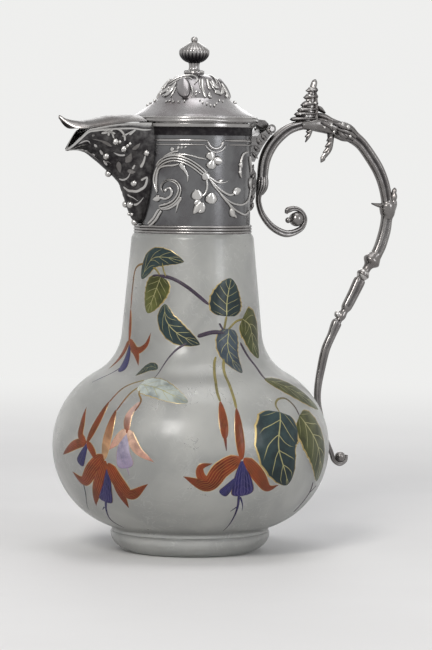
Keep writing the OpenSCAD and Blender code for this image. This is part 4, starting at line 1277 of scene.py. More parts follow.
    def reed(self, z: float, half: float, reach: float) -> list[Stroke]:
        """One applied reed, with a dip at each side of the jug.

        Args:
            z: Its height.
            half: Its half width.
            reach: Radius of its dip, about the upper reed's height.

        Returns:
            Strokes: the straight lengths and the two half circles.
        """
        start = math.asin((self.moulding - z) / reach)
        q = np.linspace(start, math.pi - start, 15)
        across, up = reach * np.cos(q), self.moulding - reach * np.sin(q)
        turn = np.degrees(np.arcsin(across / self.radius))
        gap, edge = float(turn[0]), 180 - self.front_half
        made = [Stroke([(side * (90 - t), h) for t, h in zip(turn, up)], half, 0.66) for side in (-1, 1)]
        made += [Stroke([(a, z), ((a + b) / 2, z), (b, z)], half, 0.66)
                 for a, b in ((gap - 90, 90 - gap), (90 + gap, edge), (-edge, -90 - gap))]
        return made

    def build(self) -> list[bpy.types.Object]:
        """Builds the rings, mouldings and chasing.

        Returns:
            Its objects.
        """
        made = []
        wall = Surface(turned(np.array([[self.radius, 150.0], [self.radius, 250.0]])), (0.3, 0.3))
        chasing = Skin("collar_chasing")
        for stroke in self.strokes():
            bold = replace(stroke, width=stroke.width * self.bold, height=stroke.height * self.bold)
            wall.lay(chasing, bold)
            wall.lay(chasing, replace(bold, path=[(360 - a, z) for a, z in stroke.path]))
        for a, z in ((219.6, 197.5), (265.6, 213.9)):
            for side in (-1, 1):
                q = math.radians(side * a)
                chasing.grid(ball((self.radius * math.cos(q), self.radius * math.sin(q), z), 1.1))
        made.append(chasing.build(self.finishes.relief, Body.JUG, "silver"))

        mould = Skin("collar_moulding")
        for stroke in self.reed(self.moulding, 0.85, 4.4) + self.reed(self.moulding - 2.3, 0.6, 6.3):
            wall.lay(mould, stroke, 0, 9, 0.0)
        made.append(mould.build(self.finishes.polished, Body.JUG, "silver", ["collar_top_moulding"]))

        r, z = self.radius, self.low
        reeds = np.vstack([arc(r + 0.3, z + 0.77 + 1.533 * i, 0.72, -88, 88, 11) for i in range(3)])
        ring = np.vstack([[[r, z]], reeds, [[r, z + 4.6]]])
        # Oxide and painted shade: the grooves between the reeds are darkened.
        band = Skin("collar_base_ring").grid(revolve(ring, 220), wrap_u=True, caps=False,
                                             soot=np.broadcast_to((ring[:, 0] < r + 0.55) * 0.7, (220, len(ring))))
        made.append(band.build(self.finishes.polished, Body.JUG, "silver", ["collar_base_ring"]))

        t = self.top
        rim = np.vstack([[[r, t - 6.6], [r, t], [r + 1.7, t]], arc(r + 1.7, t - 0.4, 0.4, 80, 0, 5),
                         [[r + 2.1, t - 1.8]], arc(r + 1.8, t - 1.8, 0.3, 0, -80, 4),
                         bezier((r + 1.7, t - 2.1), (r + 0.9, t - 2.2), (r + 0.5, t - 4), (r + 0.7, t - 6.6), 12)])
        grid = revolve(rim, 240, start=self.rim_half - 180, end=180 - self.rim_half)
        shade = np.where((rim[:, 1] < t - 2.2) & (rim[:, 0] > r + 0.2), 0.85, 0.0)
        lip = Skin("collar_rim").grid(grid, soot=np.broadcast_to(shade, grid.shape[:2]))
        made.append(lip.build(self.finishes.polished, Body.JUG, "silver", ["collar_rim"]))
        return made


@dataclass
class Spout(Part):
    """The beak: an open trough lofted from the collar to its tip."""
    collar_r: float = 31.3
    top: float = 233.6
    reach: float = 42.6
    depth: float = 54.6
    half: float = 14.0
    wall: float = 1.3
    bold: float = 1.5
    broad: float = 1.3
    berry_r: float = 1.9
    small_r: float = 1.05

    ROWS = np.array([
        [0, 1, 0, 1], [0.077, 0.978, 0, 0.985], [0.148, 0.868, 0.001, 0.965], [0.239, 0.66, 0.003, 0.93],
        [0.315, 0.57, 0.008, 0.9], [0.486, 0.452, 0.024, 0.83], [0.692, 0.322, 0.057, 0.72],
        [0.779, 0.289, 0.075, 0.65], [0.847, 0.278, 0.13, 0.56], [0.915, 0.278, 0.198, 0.4],
        [0.965, 0.282, 0.243, 0.24], [1, 0.286, 0.268, 0.1]])

    def point(self, u: Array, angle: Array, inset: float = 0.0) -> Array:
        """Points of the beak.

        Each section is an upright U between the rim and the keel.

        Args:
            u: Places from collar to tip, in rows.
            angle: Angles from the keel in degrees.
            inset: How far inside.

        Returns:
            Points.
        """
        fine = through(self.ROWS, 12)
        at = np.clip(u, 0, len(self.ROWS) - 1) * 12
        far, keel, rim, wide = (np.interp(at, np.arange(len(fine)), fine[:, k]) for k in range(4))
        half_w = wide * self.half
        t = np.minimum(inset, 0.6 * half_w)
        rim_z = self.top - rim * self.depth
        keel_z = np.minimum(self.top - keel * self.depth + t, rim_z - 0.3)
        a = np.radians(angle)
        y = (half_w - t) * np.sin(a)
        bulge = (self.collar_r - np.sqrt(self.collar_r ** 2 - y ** 2)) * (1 - far) ** 2
        return np.stack([-(self.collar_r + far * self.reach - bulge), y, rim_z - (rim_z - keel_z) * np.cos(a)], -1)

    def strokes(self) -> list[Stroke]:
        """Chasing on one side, by row and angle from the keel.

        Returns:
            Strokes.
        """
        leaf, tail, drop = Shape.LEAF, Shape.TAIL, Shape.DROP
        flower = [Stroke([(5.25, 80), (5.25 + 0.42 * math.sin(q), 80 + 5.5 * math.cos(q))], 0.75, 0.7, drop)
                  for q in np.radians([36, 108, 180, 252, 324])]
        scallops = [Stroke([(row, 15), (row - 0.25, 24)], 1.0, 0.7, drop) for row in (6.0, 6.8, 7.6, 8.4, 9.2, 10.0)]
        return flower + scallops + [
            # two arches beside the collar and the leaf cup between them
            Stroke([(5.28, 83), (4.83, 84.5), (4.5, 82), (4.25, 77), (4.17, 71.5)], 0.6, 0.9),
            Stroke([(5.55, 83), (5.28, 81.5), (5.05, 78), (4.93, 72)], 0.5, 0.7),
            Stroke([(5.18, 26), (5.0, 31.5), (4.78, 31.5)], 0.8, 0.8, leaf),
            Stroke([(6.03, 52.5), (5.8, 48)], 0.9, 0.8, drop),
            Stroke([(5.6, 45), (5.4, 38)], 0.9, 0.8, drop),
            Stroke([(5.28, 27), (5.0, 21)], 0.9, 0.8, drop),
            Stroke([(4.85, 52), (4.45, 52.5), (4.03, 56)], 0.55, 0.6),
            Stroke([(4.42, 43), (4.3, 36), (4.1, 28)], 1.5, 0.9, leaf),
            # bars near the rim
            Stroke([(3.8, 78.5), (3.28, 81.5), (2.8, 84.5)], 0.6, 0.8),
            Stroke([(6.45, 72), (6.08, 74.5)], 0.7, 0.8, leaf),
            Stroke([(0.6, 86), (3, 85), (6, 84), (8.4, 82), (10, 78), (10.8, 70)], 0.5, 0.5),
            # broad lobes in the middle of the side
            Stroke([(3.9, 48), (3.5, 54), (3.2, 62)], 1.6, 0.7, leaf),
            Stroke([(3.1, 66), (2.7, 70), (2.2, 76)], 1.1, 0.7, leaf),
            Stroke([(3.3, 40), (2.8, 46), (2.4, 52)], 1.3, 0.7, leaf),
            Stroke([(1.9, 60), (1.5, 66), (1.2, 74)], 1.0, 0.6, tail),
            Stroke([(5.0, 60), (5.6, 64), (6.3, 64)], 0.9, 0.7, leaf),
            Stroke([(4.4, 76), (3.9, 80), (3.3, 83)], 0.7, 0.7, tail),
            Stroke([(1.9, 24), (1.3, 34), (0.8, 42)], 0.8, 0.7, tail),
            # leaves that run down to the keel's root
            Stroke([(3.1, 11), (2.73, 20.5), (2.25, 34.5), (1.53, 44.5), (0.85, 51), (0.7, 57.5)], 0.8, 1.0),
            Stroke([(2.6, 16.5), (2.12, 29), (1.43, 35)], 0.7, 0.8, tail),
            Stroke([(2.58, 56), (2.75, 49.5)], 0.55, 0.6),
            Stroke([(1.62, 52), (1.12, 55.5), (0.68, 57.5)], 0.6, 0.7),
            Stroke([(4.0, 14), (3.4, 24), (3.0, 36), (2.9, 46)], 0.8, 0.8, tail),
            # keel leaf towards the tip
            Stroke([(10.6, 14), (9, 16), (7.4, 16), (6.2, 15), (5.4, 16)], 1.6, 1.0, leaf),
            Stroke([(10.3, 40), (9.2, 46), (8.0, 48), (7.0, 46)], 0.55, 0.6, tail),
            Stroke([(8.6, 64), (7.6, 62), (6.8, 57), (6.5, 50)], 0.5, 0.6, tail),
        ]

    def build(self) -> list[bpy.types.Object]:
        """Builds the beak, its chasing and its berries.

        Returns:
            Its objects.
        """
        u = np.linspace(0, len(self.ROWS) - 1, 100)[:, None]
        a = np.linspace(-90, 90, 61)[None, :]
        outer, inner = self.point(u, a), self.point(u, a[:, ::-1], self.wall)
        shell = np.concatenate([outer, inner], 1)
        # Outside: oxide and painted dark reflection darken the ground, less within about a millimetre of the lip;
        # inside: painted shade.
        edge = np.clip(1.2 - (outer[:, -1:, 2] - outer[..., 2]) / 1.1, 0, 1)
        soot = np.concatenate([0.82 - 0.75 * edge, 0.3 + 0 * edge], 1)
        skin = Skin("beak").grid(shell, soot=soot)
        made = [skin.build(self.finishes.relief, Body.JUG, "silver", ["spout_beak"])]
        surface = Surface(self.point, (0.02, 0.5), -1.0)
        chasing, foliage = Skin("beak_chasing"), Skin("beak_foliage")
        for stroke in self.strokes():
            dull = stroke.shape is Shape.LEAF
            for side in (-1, 1):
                path = [(row, side * angle) for row, angle in stroke.path]
                bold = replace(stroke, path=path, height=stroke.height * self.bold,
                               width=stroke.width * (self.broad if dull else 1))
                surface.lay(foliage if dull else chasing, bold, 0, 9, 0.15, 3 if dull else 0)
        made.append(chasing.build(self.finishes.relief, Body.JUG, "silver"))
        made.append(foliage.build(self.finishes.cast, Body.JUG, "silver"))
        berries = Skin("beak_berries")
        cad = [(1.15, 72), (2.15, 15.5), (2.35, 41.5), (4.2, 62), (4.8, 68), (5.2, 40)]
        small = [(4.53, 69), (3.9, 67), (3.58, 70), (1.65, 9)]
        for (row, angle), r in [(p, self.berry_r) for p in cad] + [(p, self.small_r) for p in small]:
            for side in (-1, 1):
                centre = self.point(np.array(row), np.array(float(side * angle)))
                berries.grid(ball(centre, r), soot=0.05)
        berries.grid(ball(self.point(np.array(4.7), np.array(0.0)) - [0, 0, 0.5 * self.berry_r], self.berry_r))
        berries.grid(ball(self.point(np.array(0.85), np.array(0.0)), self.berry_r))
        made.append(berries.build(self.finishes.relief, Body.JUG, "silver", ["spout_berries"]))
        return made


@dataclass
class Lid(Part):
    """The domed lid with its rim, tongue and finial."""
    z: float = 234.1
    edge_r: float = 33.2
    rim_r: float = 35.3
    top: float = 260.3
    wall: float = 1.0

    TURNS = (229.5, 349.5, 109.5)
    TONGUE = np.array([
        [0, 0.2, 2.4, 1], [0.11, 0, 2.7, 1], [0.23, -0.5, 3, 0.98], [0.37, -1.3, 3.4, 0.92],
        [0.48, -2.3, 3.5, 0.86], [0.59, -3.1, 3.2, 0.78], [0.69, -3.9, 3.2, 0.68], [0.79, -4.2, 3.5, 0.55],
        [0.86, -3.5, 3.2, 0.41], [0.93, -1.5, 2.1, 0.24], [0.975, 0.5, 1.2, 0.12], [1, 1.4, 0.6, 0.05]])

    def side(self, inset: float) -> Array:
        """The dome's section.

        Args:
            inset: How far inside.

        Returns:
            Rows of (radius, height), rising.
        """
        e, z, top = self.edge_r, self.z, self.top
        ar, az, cr = e - 12.4, z + 12.1, 5.2
        return np.vstack([
            bezier((e - inset, z + 3.4), (e - 2 - inset, z + 5), (ar + 5 - inset, az - 4.4 - inset * 0.7),
                   (ar - inset * 0.5, az - inset), 26),
            bezier((ar - 1 - inset * 0.9, az + 0.8 - inset * 0.5), (ar - 3.2 - inset, az + 6),
                   (cr + 8 - inset * 0.5, top - 1 - inset), (cr, top - inset), 44)])

    def strokes(self) -> list[Stroke]:
        """Chased ornament of one third of the dome, by azimuth from its boss and height.

        Returns:
            Strokes.
        """
        leaf, tail, drop = Shape.LEAF, Shape.TAIL, Shape.DROP
        beads = [(-23, 244.9, 0.7), (-18, 245.3, 0.8), (-11, 244.9, 0.8), (-3, 244.9, 0.9), (5, 245.3, 0.8),
                 (20, 255, 0.75), (22, 250.4, 1.1), (21.4, 248.9, 0.9), (27.5, 250, 0.7), (27, 246, 0.8),
                 (30, 244.6, 0.8), (35, 243.9, 0.9), (39, 243, 0.8), (44, 243, 0.9), (49, 244.2, 0.8),
                 (57, 245.8, 0.8), (63, 245.4, 0.7), (-33, 250.6, 0.9), (-29, 252.6, 0.8), (-40, 248.4, 0.8)]
        return [Stroke([(a - 1.2 * r, h), (a + 1.2 * r, h - 0.3 * r)], r, r, drop) for a, h, r in beads] + [
            Stroke([(-47, 254.9), (-34, 257.9), (-16, 259.2), (10, 259.4), (24.7, 258.4), (24.8, 256.4),
                    (20, 255.2)], 0.5, 0.6),
            Stroke([(-40, 253.6), (-27, 256.6), (-13, 257.9), (4, 258.2), (14, 257)], 0.35, 0.45),
            Stroke([(-22, 255.4), (-26, 251.9), (-31, 249.2), (-38, 247.4)], 1.2, 0.8, leaf),
            Stroke([(-33, 253), (-43, 250.8), (-53, 249)], 1.0, 0.7, leaf),
            Stroke([(-18, 253), (-19, 249.5), (-22, 246.8)], 0.6, 0.6, tail),
            Stroke([(13, 253.6), (16, 250), (14, 247)], 0.7, 0.6, tail),
            # leaves that spread from the crown
            Stroke([(38, 257.4), (34, 252.5), (36.5, 247.3)], 0.75, 0.7),
            Stroke([(31, 257.2), (29, 253.4), (30, 251.6)], 0.55, 0.6, tail),
            Stroke([(51, 257.5), (46.5, 253.5), (49.7, 251.5)], 0.7, 0.7),
            Stroke([(45, 250), (43.6, 248.4), (47, 246.7)], 0.8, 0.8, leaf),
            Stroke([(61, 257), (62.6, 253.8), (69.5, 252.2)], 1.1, 0.8, leaf),
            Stroke([(55, 249.8), (62, 250.4), (70, 248.7)], 1.2, 0.8, leaf),
            Stroke([(55, 256.4), (55, 252.6), (59, 250.8)], 0.5, 0.6, tail),
        ]

    def tongue(self) -> bpy.types.Object:
        """Builds the leaf over the spout.

        Returns:
            Its object.
        """
        rows = through(self.TONGUE, 8)
        across = np.linspace(-1, 1, 41)
        root, reach, half = self.rim_r - 1, 43.8, 13.2
        y = across[None] * rows[:, 3:] * half
        bulge = (root - np.sqrt(root ** 2 - y ** 2)) * (1 - rows[:, :1]) ** 3
        x = -(root + rows[:, :1] * reach - bulge)
        z = self.z + rows[:, 1:2] + rows[:, 2:3] * (1 - across[None] ** 2)
        thick = np.minimum(1.1, 0.3 + rows[:, 3:] * half)
        seam = np.exp(-(across[None] / 0.07) ** 2) * 0.25 * np.minimum(1, (1 - rows[:, :1]) * 8)
        low = np.stack([x, y, z], -1)
        high = np.stack([x, y, z + thick - seam], -1)
        # Painted reflection: the top face is darkened except for thin bright edges, and the underside is a little dark.
        top = 0.42 * (1 - np.abs(across) ** 8)
        soot = np.broadcast_to(np.concatenate([0 * across + 0.3, top[::-1]]), (len(rows), 2 * across.size))
        skin = Skin("tongue").grid(np.concatenate([low, high[:, ::-1]], 1), soot=soot)
        return skin.build(self.finishes.tongue, Body.LID, "silver", ["lid_tongue"])

    def build(self) -> list[bpy.types.Object]:
        """Builds the lid.

        Returns:
            Its objects.
        """
        e, z, w = self.edge_r, self.z, self.wall
        outer, inner = self.side(0), self.side(w)[::-1]
        profile = np.vstack([[[e - w, z], [e, z]], outer, [[1.6, self.top], [1.6, self.top - w]], inner])
        outside = np.arange(len(profile)) < len(outer) + 2
        # Oxide and painted shade: the raised bell, where the ground shows between the chasing, is darker than the
        # apron.
        bell = np.clip((profile[:, 1] - z - 9) / 6, 0, 1) * outside
        soot = np.broadcast_to(0.05 + 0.22 * bell, (256, len(profile)))
        dome = Skin("dome").grid(revolve(profile, 256), wrap_u=True, caps=False, soot=soot)
        made = [dome.build(self.finishes.dome, Body.LID, "silver", ["lid_dome"])]
        surface = Surface(turned(outer), (0.4, 0.15))
        chasing = Skin("dome_chasing")
        for turn in self.TURNS:
            for stroke in self.strokes():
                surface.lay(chasing, replace(stroke, path=[(a + turn, h) for a, h in stroke.path],
                                             width=stroke.width * 1.35, height=stroke.height * 1.25))
        made.append(chasing.build(self.finishes.relief, Body.LID, "silver"))
        bosses = Skin("dome_bosses")
        for turn in self.TURNS:
            path = [(turn + a, h) for a, h in ((-8, 257.2), (-4, 254.6), (0, 251.6), (4, 248.8), (6, 247.2))]
            surface.lay(bosses, Stroke(path, 3.9, 1.8, Shape.OVAL), 60, 15)
        made.append(bosses.build(self.finishes.dome, Body.LID, "silver"))
        q = 0.775
        rim = np.vstack([[[e, z]], arc(self.rim_r - q, z + q, q, -90, 62, 14),
                         arc(self.rim_r - 1.5 * q, z + 3 * q, q, -40, 90, 12), [[e, z + 3.1]]])
        ring = Skin("lid_rim").grid(revolve(rim, 256), wrap_u=True, caps=False, soot=0.02)
        made.append(ring.build(self.finishes.polished, Body.LID, "silver", ["lid_rim"]))
        made.append(self.tongue())
        made += self.finial()
        return made

    def finial(self) -> list[bpy.types.Object]:
        """Builds the base disc and the gadrooned knob.

        Returns:
            Its objects.
        """
        top = self.top
        base = np.array([[1.6, top], [5.3, top], [5.6, top + 0.4], [5.6, top + 1.2], [5.3, top + 1.5],
                         [4.03, top + 1.5], [3.7, top + 2.2], [1.6, top + 2.2]])
        disc = Skin("finial_base").grid(revolve(base, 96), wrap_u=True, caps=False, soot=0.15)
        foot, tip, r = top + 2.2, top + 20.6, 8.3
        knob = np.vstack([
            [[0.05, top - 5.2], [1.2, top - 5.2], [1.5, top - 4.9], [1.5, foot]],
            bezier((3.3, foot), (2.7, foot + 0.8), (2.7, foot + 2.6), (3.2, foot + 4), 10),
            bezier((3.9, foot + 4.2), (r * 0.7, foot + 4.8), (r, tip - 11.4), (r, tip - 9), 26),
            bezier((r, tip - 8.4), (r, tip - 6.8), (r * 0.66, tip - 5.4), (2.6, tip - 3.4), 26),
            arc(0, tip - 1.9, 1.9, -40, 89, 16)])
        bun = (knob[:, 1] > foot + 4.6) & (knob[:, 1] < tip - 4)
        share = np.clip((knob[:, 1] - foot - 4.2) / (tip - foot - 8.2), 0, 1)
        depth = np.where(bun, 0.035 * np.sin(np.pi * share) ** 0.6, 0.0)
        depth = np.where((knob[:, 1] > foot) & (knob[:, 1] < foot + 3.8), 0.1, depth)
        count = np.where(knob[:, 1] < foot + 4.2, 10, 24)

        def ribs(a: Array, row: Array) -> Array:
            """Radius factor that cuts upright ribs into the bun and the neck.

            Args:
                a: Azimuths in degrees.
                row: Profile rows.

            Returns:
                Factors from 0.9 to 1.
            """
            return 1 - depth[row] * (1 - np.abs(np.sin(np.radians(a) * count[row] / 2))) ** 1.5

        a = np.linspace(0, 360, 288, endpoint=False)[:, None]
        # Oxide and painted shade in the gadroon grooves, and painted shade on the underside of the bun.
        cut = (1 - np.abs(np.sin(np.radians(a) * count[None] / 2))) ** 1.5 * (depth[None] > 0)
        shaded_underside = np.clip(1 - (knob[:, 1] - foot - 4) / 5.4, 0, 1) ** 0.5 * (knob[:, 1] > foot + 3.6)
        soot = np.clip(0.6 * cut + 1.0 * shaded_underside[None], 0, 1)
        grid = revolve(knob, 288, ribs).transpose(1, 0, 2)
        ball_part = Skin("finial_knob").grid(grid, soot=soot.T)
        q = np.radians(np.arange(0, 360, 24))
        for x, y in zip(4.75 * np.cos(q), 4.75 * np.sin(q)):
            disc.grid(ball((x, y, top + 1.35), 0.85, 0.9, 8, 12), soot=0.02)
        return [disc.build(self.finishes.polished, Body.LID, "silver", ["finial_base"]),
                ball_part.build(self.finishes.polished, Body.LID, "silver", ["finial_knob"])]


@dataclass
class Handle(Part):
    """The handle's cast pieces: one line in the XZ plane, as in its CAD solids."""

    PIECES = {
        "scroll_tail": [(55.8, 184.4, 0.8, 0.8), (57.0, 186.4, 1.7, 1.8), (61.2, 187.3, 1.4, 1.8),
                        (65.4, 185.2, 1.2, 1.8), (67.2, 180.9, 1.3, 1.9), (64.4, 175.9, 1.6, 2.1),
                        (56.2, 173.4, 2.1, 2.3), (47.8, 176.8, 2, 2.3), (41.6, 183.6, 1.7, 2.2),
                        (39.1, 190.2, 1.5, 2.2), (39.1, 194.4, 1.6, 2.3)],
        "scroll_bud": [(39.8, 196.3, 2.6, 2.9), (40.7, 198.8, 3.4, 3.7), (41.2, 201.8, 3.5, 3.6),
                       (41.3, 204.4, 3.1, 3.1)],
        "scroll_band": [(41.5, 207.8, 3.2, 3), (42.4, 213.4, 3.3, 3), (44.8, 219.3, 3.4, 3),
                        (49.2, 225.2, 3.3, 3), (56.4, 230.8, 3.0, 2.9), (64.2, 233.3, 2.7, 2.8)],
        "handle_crest": [(69.2, 233.6, 3.2, 3.4), (74.2, 233.8, 4.2, 3.8), (79.2, 233.4, 4.6, 3.8),
                         (84.4, 232.2, 4.6, 3.8)],
        "handle_binding": [(86.6, 231.0, 4.9, 4.4), (89.8, 230.2, 5.4, 4.8), (93.2, 229.0, 5, 4.4),
                           (96.4, 226.9, 3.9, 3.7)],
        "handle_bow": [(102.0, 222.4, 3.5, 3.3), (109.2, 213.2, 3.5, 3.3), (113.2, 206.4, 3.4, 3.3),
                       (115.9, 199.2, 3.3, 3.3), (117.4, 191.8, 3.2, 3.2)],
        "handle_leaf_collar": [(117.8, 189.6, 4.4, 4.3), (118.0, 187.0, 4.6, 4.4), (117.9, 184.2, 4.1, 4.0),
                               (117.5, 181.6, 3.3, 3.3)],
        "stem_upper": [(116.5, 175.0, 3.4, 3.3), (114.0, 167.0, 3.4, 3.3), (111.6, 162.0, 3.3, 3.3)],
        "knot_upper": [(110.3, 160.2, 3.9, 3.7), (108.3, 157.6, 5.0, 4.5), (106.6, 155.2, 2.7, 2.7),
                       (104.9, 152.7, 2.4, 2.4), (103.3, 150.4, 3.7, 3.6), (102.0, 148.3, 2.5, 2.5)],
        "stem_middle": [(101.0, 146.6, 3.4, 3.2), (97.0, 138.8, 3.2, 3.1), (93.4, 132.4, 3.0, 2.9)],
        "knot_lower": [(92.0, 130.0, 2.1, 2.1), (90.3, 127.4, 2.5, 2.5), (88.6, 125.1, 2.0, 2.0)],
        "stem_lower": [(87.2, 123.2, 3.0, 2.8), (84.3, 116.6, 2.5, 2.5), (81.0, 109.5, 2.5, 2.5),
                       (78.8, 101.2, 2.4, 2.4), (76.4, 88.5, 2.1, 2.1), (76.3, 79.5, 1.9, 1.9),
                       (78.5, 70.0, 1.7, 1.8), (81.0, 60.0, 1.5, 1.6), (84.8, 51.4, 1.3, 1.5),
                       (86.6, 46.7, 1.2, 1.4), (90.2, 44.5, 1.2, 1.3), (93.6, 46.2, 1.1, 1.2),
                       (94.4, 49.5, 0.8, 0.9)],
    }
    FLUTED = ("handle_binding", "scroll_bud")
    CAST = ("handle_crest", "handle_leaf_collar", *FLUTED)
    FLUTES = 12
    MOUNT_FACE = 3.0  # distance of the leaves on handle_mount from the middle plane
    BRACKET_FACE = 7.7  # the same for hinge_bracket
    REEDED = {"scroll_tail": 0.34, "scroll_band": 0.42, "handle_bow": 0.4, "stem_upper": 0.34,
              "stem_middle": 0.34, "stem_lower": 0.3}

    def ring_grid(self, rows: Array, groove: float, sides: int = 28, flutes: int = 0) -> tuple[Array, Array]:
        """Rings along rows of the handle's line.

        A reeded ring is drawn in at the middle of both faces, so that its two edges stand up as reeds.

        Args:
            rows: Rows of (x, z, half thickness in the plane, half thickness across).
            groove: How deep the faces are hollowed.
            sides: Points round each ring.
            flutes: Grooves round a swelling.

        Returns:
            Points, and a mask of oxide and painted shade.
        """
        run = np.gradient(rows[:, :2], axis=0)
        run /= np.linalg.norm(run, axis=1, keepdims=True)
        a = np.linspace(0, 2 * np.pi, sides, endpoint=False)[None]
        hollow = (1 - np.abs(np.cos(a))) ** 1.6
        cut = 1 - 0.12 * (1 - np.abs(np.cos(a * flutes / 2))) if flutes else 1.0
        u = rows[:, 2:3] * np.cos(a) * cut
        v = rows[:, 3:4] * np.sin(a) * (1 - groove * hollow) * cut
        x = rows[:, :1] - run[:, 1:] * u
        z = rows[:, 1:2] + run[:, :1] * u
        # Oxide and painted shade: the hollowed faces and the flutes' grooves are darkened.
        soot = np.broadcast_to(hollow * min(1.0, groove * 1.7), u.shape)
        if flutes:
            soot = soot + np.broadcast_to(0.6 * (1 - np.abs(np.cos(a * flutes / 2))) ** 2, u.shape)
        return np.stack([x, v + 0 * x, z], -1), soot

    def blade(self, skin: Skin, rows: Path, lobes: int, bite: float) -> None:
        """Adds a free leaf along rows of (x, y, z, half width, half thickness).

        Its section is a lens with a raised rib, and its edges are cut into lobes.

        Args:
            skin: Where it goes.
            rows: The leaf's line.
            lobes: Lobes along each edge.
            bite: How deep the cuts are.
        """
        p = smooth(np.asarray(rows, float), 60)
        t = np.linspace(0, 1, len(p))
        run = np.gradient(p[:, [0, 2]], axis=0)
        run /= np.linalg.norm(run, axis=1, keepdims=True)
        a = np.linspace(0, 2 * np.pi, 24, endpoint=False)[None]
        half = (p[:, 3] * (1 - bite * np.abs(np.cos(np.pi * lobes * t))))[:, None]
        thick = p[:, 4:5] * (0.7 + 0.3 * np.abs(np.sin(a)) ** 6)
        x = p[:, :1] - run[:, 1:] * half * np.cos(a)
        z = p[:, 2:3] + run[:, :1] * half * np.cos(a)
        y = p[:, 1:2] + thick * np.sin(a)
        # Darker at the notches between the lobes and along the leaf's edges.
        soot = np.abs(np.cos(np.pi * lobes * t))[:, None] ** 4 * 0.5 + 0.25 * (1 - np.abs(np.sin(a)) ** 3)
        skin.grid(np.stack([x, y, z], -1), soot=soot)

    def leaves(self) -> dict[str, tuple[list[Path], int, float, list[str]]]:
        """Free leaves by object.

        The crest is a comb of rolls that run from a spine to tips at the left, under a smooth finger.

        Returns:
            Leaves, their lobes and bite, and the CAD nodes that each object stands for.
        """
        rolls = [(57.5, 236.4, 237.0, 1.5, 3.1), (60.0, 239.2, 239.6, 1.6, 3.1), (61.8, 241.4, 242.2, 1.7, 3.0),
                 (63.8, 244.4, 245.5, 1.9, 2.8), (65.5, 248.6, 249.2, 1.9, 2.5), (66.9, 252.4, 252.8, 1.7, 2.2)]
        crest = [[(73.4, 0, root, 0.8 * w, t), ((73.4 + 2 * x) / 3 + 1, 0, (root + 2 * z) / 3 + 0.4, w, t),
                  (x + 1.6, 0, z + 0.1, 0.72 * w, 0.6 * t), (x, 0, z, 0.2, 0.35)]
                 for x, z, root, w, t in rolls]
        crest.append([(67.6, 0, 235.4, 6.6, 2.2), (69.2, 0, 240, 5.0, 2.1), (70.2, 0, 246, 3.4, 1.8),
                      (71, 0, 252, 2.0, 1.5), (71.4, 0, 254, 0.8, 1.0)])
        crest += [[(70.6, 0, 251.5, 1.5, 1.9), (71.4, 0, 254.6, 1.9, 1.8), (72.3, 0, 257.4, 1.6, 1.5),
                   (72.8, 0, 258.7, 0.4, 0.5)],
                  [(72.8, 0, 234.5, 2.4, 3.3), (72.8, 0, 240, 1.7, 2.9), (72.8, 0, 246, 1.4, 2.4),
                   (72.2, 0, 252, 1.2, 2.0)],
                  [(73.6, 0, 243.8, 0.8, 1.8), (76.0, 0, 242.2, 1.5, 2.2), (78.8, 0, 240.2, 0.5, 1.0)]]
        for y in (-1.5, 1.5):
            crest += [[(73.2, y, 239.3, 1.0, 1.2), (77.6, y, 238.2, 1.6, 1.5), (82.4, y, 236.2, 1.3, 1.6),
                       (88.4, y, 234.9, 0.5, 0.9)],
                      [(73.4, y, 236.8, 1.0, 1.6), (78.2, y, 235.8, 1.6, 2.2), (84, y, 234.2, 0.5, 1.2)],
                      [(74.6, 2.4 * y, 234.8, 0.7, 0.9),
                       (79, 2.7 * y, 233.6, 1.3, 1.1), (81.8, 2.5 * y, 230.2, 0.5, 0.7)],
                      [(84.4, 2.5 * y, 230.4, 0.8, 1.2), (87.2, 3 * y, 228.2, 1.5, 1.3),
                       (90.8, 2.6 * y, 226.2, 0.5, 0.8)],
                      [(82.4, 2.4 * y, 234.2, 0.8, 1.2), (87.4, 3 * y, 233.2, 1.5, 1.3),
                       (93.6, 2.6 * y, 230.6, 0.5, 0.9)]]
        drops = []
        for k, (x, z) in enumerate([(82.2, 226.6), (81.8, 223.4), (80.8, 220.2), (79.2, 217.2), (77.8, 214.8)]):
            reach = (2.2, 2.8, 3.0, 2.8, 1.2)[k]
            drops.append([(x + 1.2, 0, z + 2.0, 0.7, 1.0), (x, 0, z, 1.5, 1.8 - 0.2 * k),
                          (x - reach, 0, z - 2.0, 0.3, 0.4)])
        drops.append([(82.4, 0, 229.2, 2.2, 1.8), (82.4, 0, 223.6, 1.7, 1.6), (81.4, 0, 219.4, 1.4, 1.4),
                      (77.2, 0, 213.3, 0.4, 0.45)])
        drops += [[(70.4, 0, 231.8, 0.8, 1.2), (69.4, 0, 230.2, 1.4, 1.7), (67.4, 0, 229.6, 0.4, 0.5)],
                  [(70, 0, 229.8, 0.8, 1.1), (69.0, 0, 228.0, 1.3, 1.5), (66.8, 0, 226.9, 0.4, 0.5)],
                  [(70, 0, 232.0, 1.8, 1.8), (69, 0, 227.6, 1.2, 1.5), (67.0, 0, 223.9, 0.3, 0.45)]]
        collar = [[(120.6, 0, 186.8, 2.4, 2.2), (121.4, 0, 190.4, 2.5, 2.4), (121.4, 0, 193.2, 1.2, 1.6)],
                  [(120.9, 0, 191.0, 1.8, 1.9), (121.8, 0, 194.2, 2.1, 2.1), (121.8, 0, 197, 0.9, 1.3)],
                  [(121.4, 0, 195.0, 1.4, 1.5), (122.2, 0, 197.6, 1.4, 1.4), (122.3, 0, 199, 0.4, 0.5)],
                  [(117, 0, 188.6, 1.8, 1.7), (112, 0, 189.2, 1.1, 1.1), (108, 0, 190.1, 0.35, 0.4)]]
        mount = []
        for side in (-1, 1):
